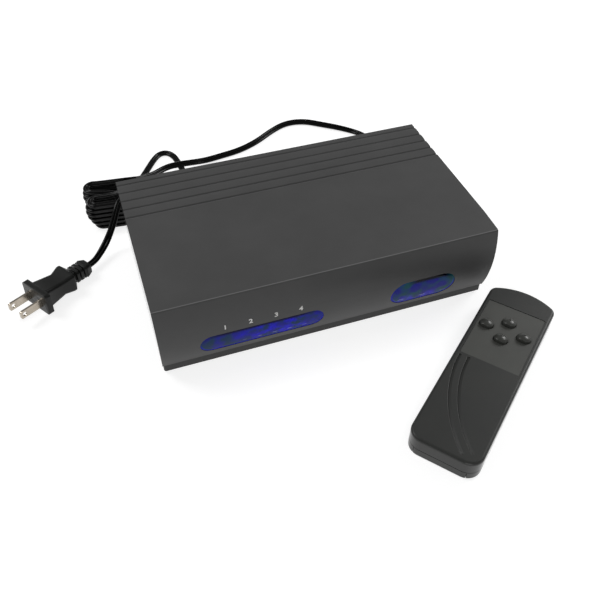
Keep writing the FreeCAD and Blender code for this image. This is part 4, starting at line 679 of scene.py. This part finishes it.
# Metals: zinc plate is dull and bluish, nickel warm and bright, tinned brass yellow.
zinc_plate = plated("zinc_plated_steel", "a9abac", "bcbebf", 0.6, 0.006, 0.28, 0.42)
nickel_plate = plated("nickel_plated_brass", "a89f92", "bcb3a6", 0.5, 0.004, 0.16, 0.28)
tinned_brass = plated("tinned_brass", "b59a5c", "c6ad72", 0.5, 0.004, 0.22, 0.32)
sink_metal = plated("anodised_aluminium", "2c2d2f", "37383a", 0.7, 0.010, 0.35, 0.48, (1, 1, 0.06))
crystal_can = plated("pressed_steel_can", "b8bbbe", "c8cbce", 0.5, 0.004, 0.20, 0.30)
core_plates = laminated("silicon_steel_plates", "2b2b2d", "454548", 0.5, "X")
board_green = circuit_board("epoxy_glass_board")
fuse_glass = glass_tube("fuse_glass", "e6efe9")
# Cast acrylic dyed in the mass: deep blue and glossy. Painted on it are brighter clouds of painted glow, a
# painted glow along the lower rim, painted shade along the upper rim and painted glints; the colours are
# body, patch, painted glow and painted rim shade.
blue_pane = dyed_pane("blue_acrylic", "indicator_window", ("191ea0", "143a62", "1a0cfa", "04003a"),
                      glow_place=(-38 * MM, -68 * MM, 24 * MM), glow_size=(36 * MM, 12 * MM, 14 * MM),
                      glint_streaks=(-0.62, 3 * MM, 5.2 * MM), lit=(0.2, -0.3), dark=(0.0, 45 * MM))
dark_pane = dyed_pane("receiver_acrylic", "receiver_window", ("0a1492", "00505a", "2c22e6", "00000e"),
                      glow_place=(60 * MM, -68 * MM, 15 * MM), glow_size=(28 * MM, 12 * MM, 7 * MM),
                      glint_streaks=(-0.66, 9 * MM, 8.0 * MM), lit=(0.4, -0.1), dark=(5 * MM, 18 * MM))

finishes = {
    "top_cover": case_plastic, "base_tray": shaded_tray_plastic, "rear_panel": panel_coat,
    "indicator_window": blue_pane, "receiver_window": dark_pane, "rubber_feet": foot_rubber,
    "case_screws": zinc_plate, "jack_screws": zinc_plate, "svideo_sockets": nylon_black,
    "svideo_shields": nickel_plate, "svideo_contacts": tinned_brass, "phono_blocks": nylon_black,
    "phono_barrels": nickel_plate, "phono_contacts": tinned_brass, "phono_rings_red": nylon_red,
    "phono_rings_white": nylon_white, "phono_rings_yellow": nylon_yellow, "main_board": board_green,
    "board_screws": zinc_plate, "display_board": board_green, "indicator_leds": lamp_epoxy,
    "infrared_receiver": infrared_epoxy, "display_ribbon": ribbon_grey, "transformer_core": core_plates,
    "transformer_winding": tape_yellow, "transformer_strap": zinc_plate, "transformer_screws": zinc_plate,
    "switch_chips": chip_epoxy, "coupling_capacitors": sleeve_blue, "reservoir_capacitor": sleeve_blue,
    "heat_sink": sink_metal, "voltage_regulator": chip_epoxy, "quartz_crystal": crystal_can,
    "fuse": fuse_glass, "fuse_clips": tinned_brass, "rectifier_diodes": chip_epoxy,
    "mains_wires": wire_vinyl, "transformer_wires": wire_vinyl, "cord_bush": plug_vinyl,
    "hank_tie": wire_vinyl, "plug_body": plug_vinyl, "plug_blades": nickel_plate,
    "remote_top_shell": handset_plastic, "remote_bottom_shell": handset_plastic,
    "battery_hatch": handset_plastic, "keypad_plate": keypad_film, "remote_button_1": key_rubber,
    "remote_button_2": key_rubber, "remote_button_3": key_rubber, "remote_button_4": key_rubber,
    "remote_board": board_green, "remote_membrane": dome_rubber, "emitter_diode": infrared_epoxy,
    "battery_cells": foil_jacket, "battery_contacts": tinned_brass, "remote_screws": zinc_plate,
    "power_cord_lead": flex_vinyl, "cord_hank": flex_vinyl, "power_cord_tail": flex_vinyl,
}


def dress(piece, material):
    """Gives a piece one material."""
    piece.data.materials.clear()
    piece.data.materials.append(material)


for name, material in finishes.items():
    dress(nodes[name], material)
dress(flex, flex_vinyl)
dress(plug, plug_vinyl)


# Floor, lamps and world

def make_floor():
    """A wide pale table. It looks white to the camera and to gloss, and keeps the object's shadow."""
    corners = [(-3, -3, 0), (3, -3, 0), (3, 3, 0), (-3, 3, 0)]
    floor = mesh_object("table", corners, [(0, 1, 2, 3)], None, False)
    material, tree, shader, place = start("white_table")
    shader.inputs["Base Color"].default_value = linear("a8a8a8")
    shader.inputs["Roughness"].default_value = 0.9
    shader.inputs["Specular IOR Level"].default_value = 0.1
    path = add(tree, "ShaderNodeLightPath")
    glow = add(tree, "ShaderNodeEmission", {"Color": (1, 1, 1, 1), "Strength": 0.79})
    none = add(tree, "ShaderNodeEmission", {"Color": (0, 0, 0, 1), "Strength": 0.0})
    shiny = add(tree, MATH, {0: path.outputs["Is Camera Ray"], 1: path.outputs["Is Glossy Ray"]},
                operation="MAXIMUM")
    any_view = add(tree, MATH, {0: shiny, 1: path.outputs["Is Transmission Ray"]}, operation="MAXIMUM")
    seen = add(tree, "ShaderNodeMixShader", {0: any_view, 1: none, 2: glow})
    both = add(tree, "ShaderNodeAddShader", {0: shader, 1: seen})
    output = next(n for n in tree.nodes if n.type == "OUTPUT_MATERIAL")
    tree.links.new(both.outputs[0], output.inputs["Surface"])
    dress(floor, material)


def area_lamp(name, place, target, size, power):
    """A square lamp that faces a target."""
    data = bpy.data.lights.new(name, "AREA")
    data.size = size
    data.energy = power
    lamp = bpy.data.objects.new(name, data)
    lamp.rotation_mode = "QUATERNION"
    lamp.rotation_quaternion = (Vector(place) - Vector(target)).to_track_quat("Z", "Y")
    lamp.location = place
    bpy.context.scene.collection.objects.link(lamp)


def make_world():
    """A pale backdrop near the horizon that falls to a dim room above it, by the height of the direction."""
    world = bpy.data.worlds.new("studio")
    world.use_nodes = True
    tree = world.node_tree
    tree.nodes.clear()
    place = add(tree, "ShaderNodeTexCoord").outputs["Generated"]
    height = add(tree, SPLIT, {"Vector": place}).outputs["Z"]
    fall = add(tree, RANGE, {"Value": height, "From Min": 0.05, "From Max": 0.4,
                             "To Min": 0.75, "To Max": 0.3}, interpolation_type="SMOOTHSTEP")
    sky = add(tree, "ShaderNodeBackground", {"Color": (1, 1, 1, 1), "Strength": fall})
    add(tree, "ShaderNodeOutputWorld", {"Surface": sky})
    bpy.context.scene.world = world


make_floor()
area_lamp("left key", (-0.85, 0.65, 1.25), (0, 0, 0), 0.6, 9.0)
area_lamp("right key", (1.35, 0.3, 0.95), (0, 0, 0), 0.6, 12.0)
area_lamp("fill", (-0.5, -1.3, 0.45), (0, 0, 0), 0.8, 3.5)
make_world()
bpy.context.scene.view_settings.view_transform = "Standard"


# Digits printed over the left window, which follow the bulge of the front

front_centre_y = 9.612 * MM
front_radius = 80.7 * MM
bulge_height = 37.6 * MM
digit_height = 3.7 * MM
digit_share = 0.7
ink_thickness = 0.03 * MM
ink_spread = 0.15 * MM
digit_z = 35.2 * MM
digit_places = {"1": -74.5 * MM, "2": -57.7 * MM, "3": -40.6 * MM, "4": -23.8 * MM}
ink = moulded("white_ink", "e2e2de", "ececea", 0.5, 0.004, 0.45, 0.55)


def printed_digit(body, x):
    """Flat digit, raised a little and wrapped on the front: y is the circle's centre less the root of its
    radius squared less the height from its centre squared."""
    curve = bpy.data.curves.new("digit", "FONT")
    curve.body = body
    curve.size = digit_height / digit_share
    curve.align_x = "CENTER"
    curve.extrude = ink_thickness
    curve.offset = ink_spread
    text = bpy.data.objects.new("digit", curve)
    bpy.context.scene.collection.objects.link(text)
    mesh = bpy.data.meshes.new_from_object(text)
    bpy.data.objects.remove(text)
    flat = np.zeros(len(mesh.vertices) * 3)
    mesh.vertices.foreach_get("co", flat)
    flat = flat.reshape(-1, 3)
    z = digit_z + flat[:, 1]
    y = front_centre_y - np.sqrt(front_radius ** 2 - (z - bulge_height) ** 2) - flat[:, 2]
    wrapped = np.stack([x + flat[:, 0], y, z], 1)
    mesh.vertices.foreach_set("co", wrapped.ravel())
    mesh.update()
    digit = bpy.data.objects.new("printed_digit_" + body, mesh)
    bpy.context.scene.collection.objects.link(digit)
    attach(digit, "selector")
    dress(digit, ink)


for body, x in digit_places.items():
    printed_digit(body, x)
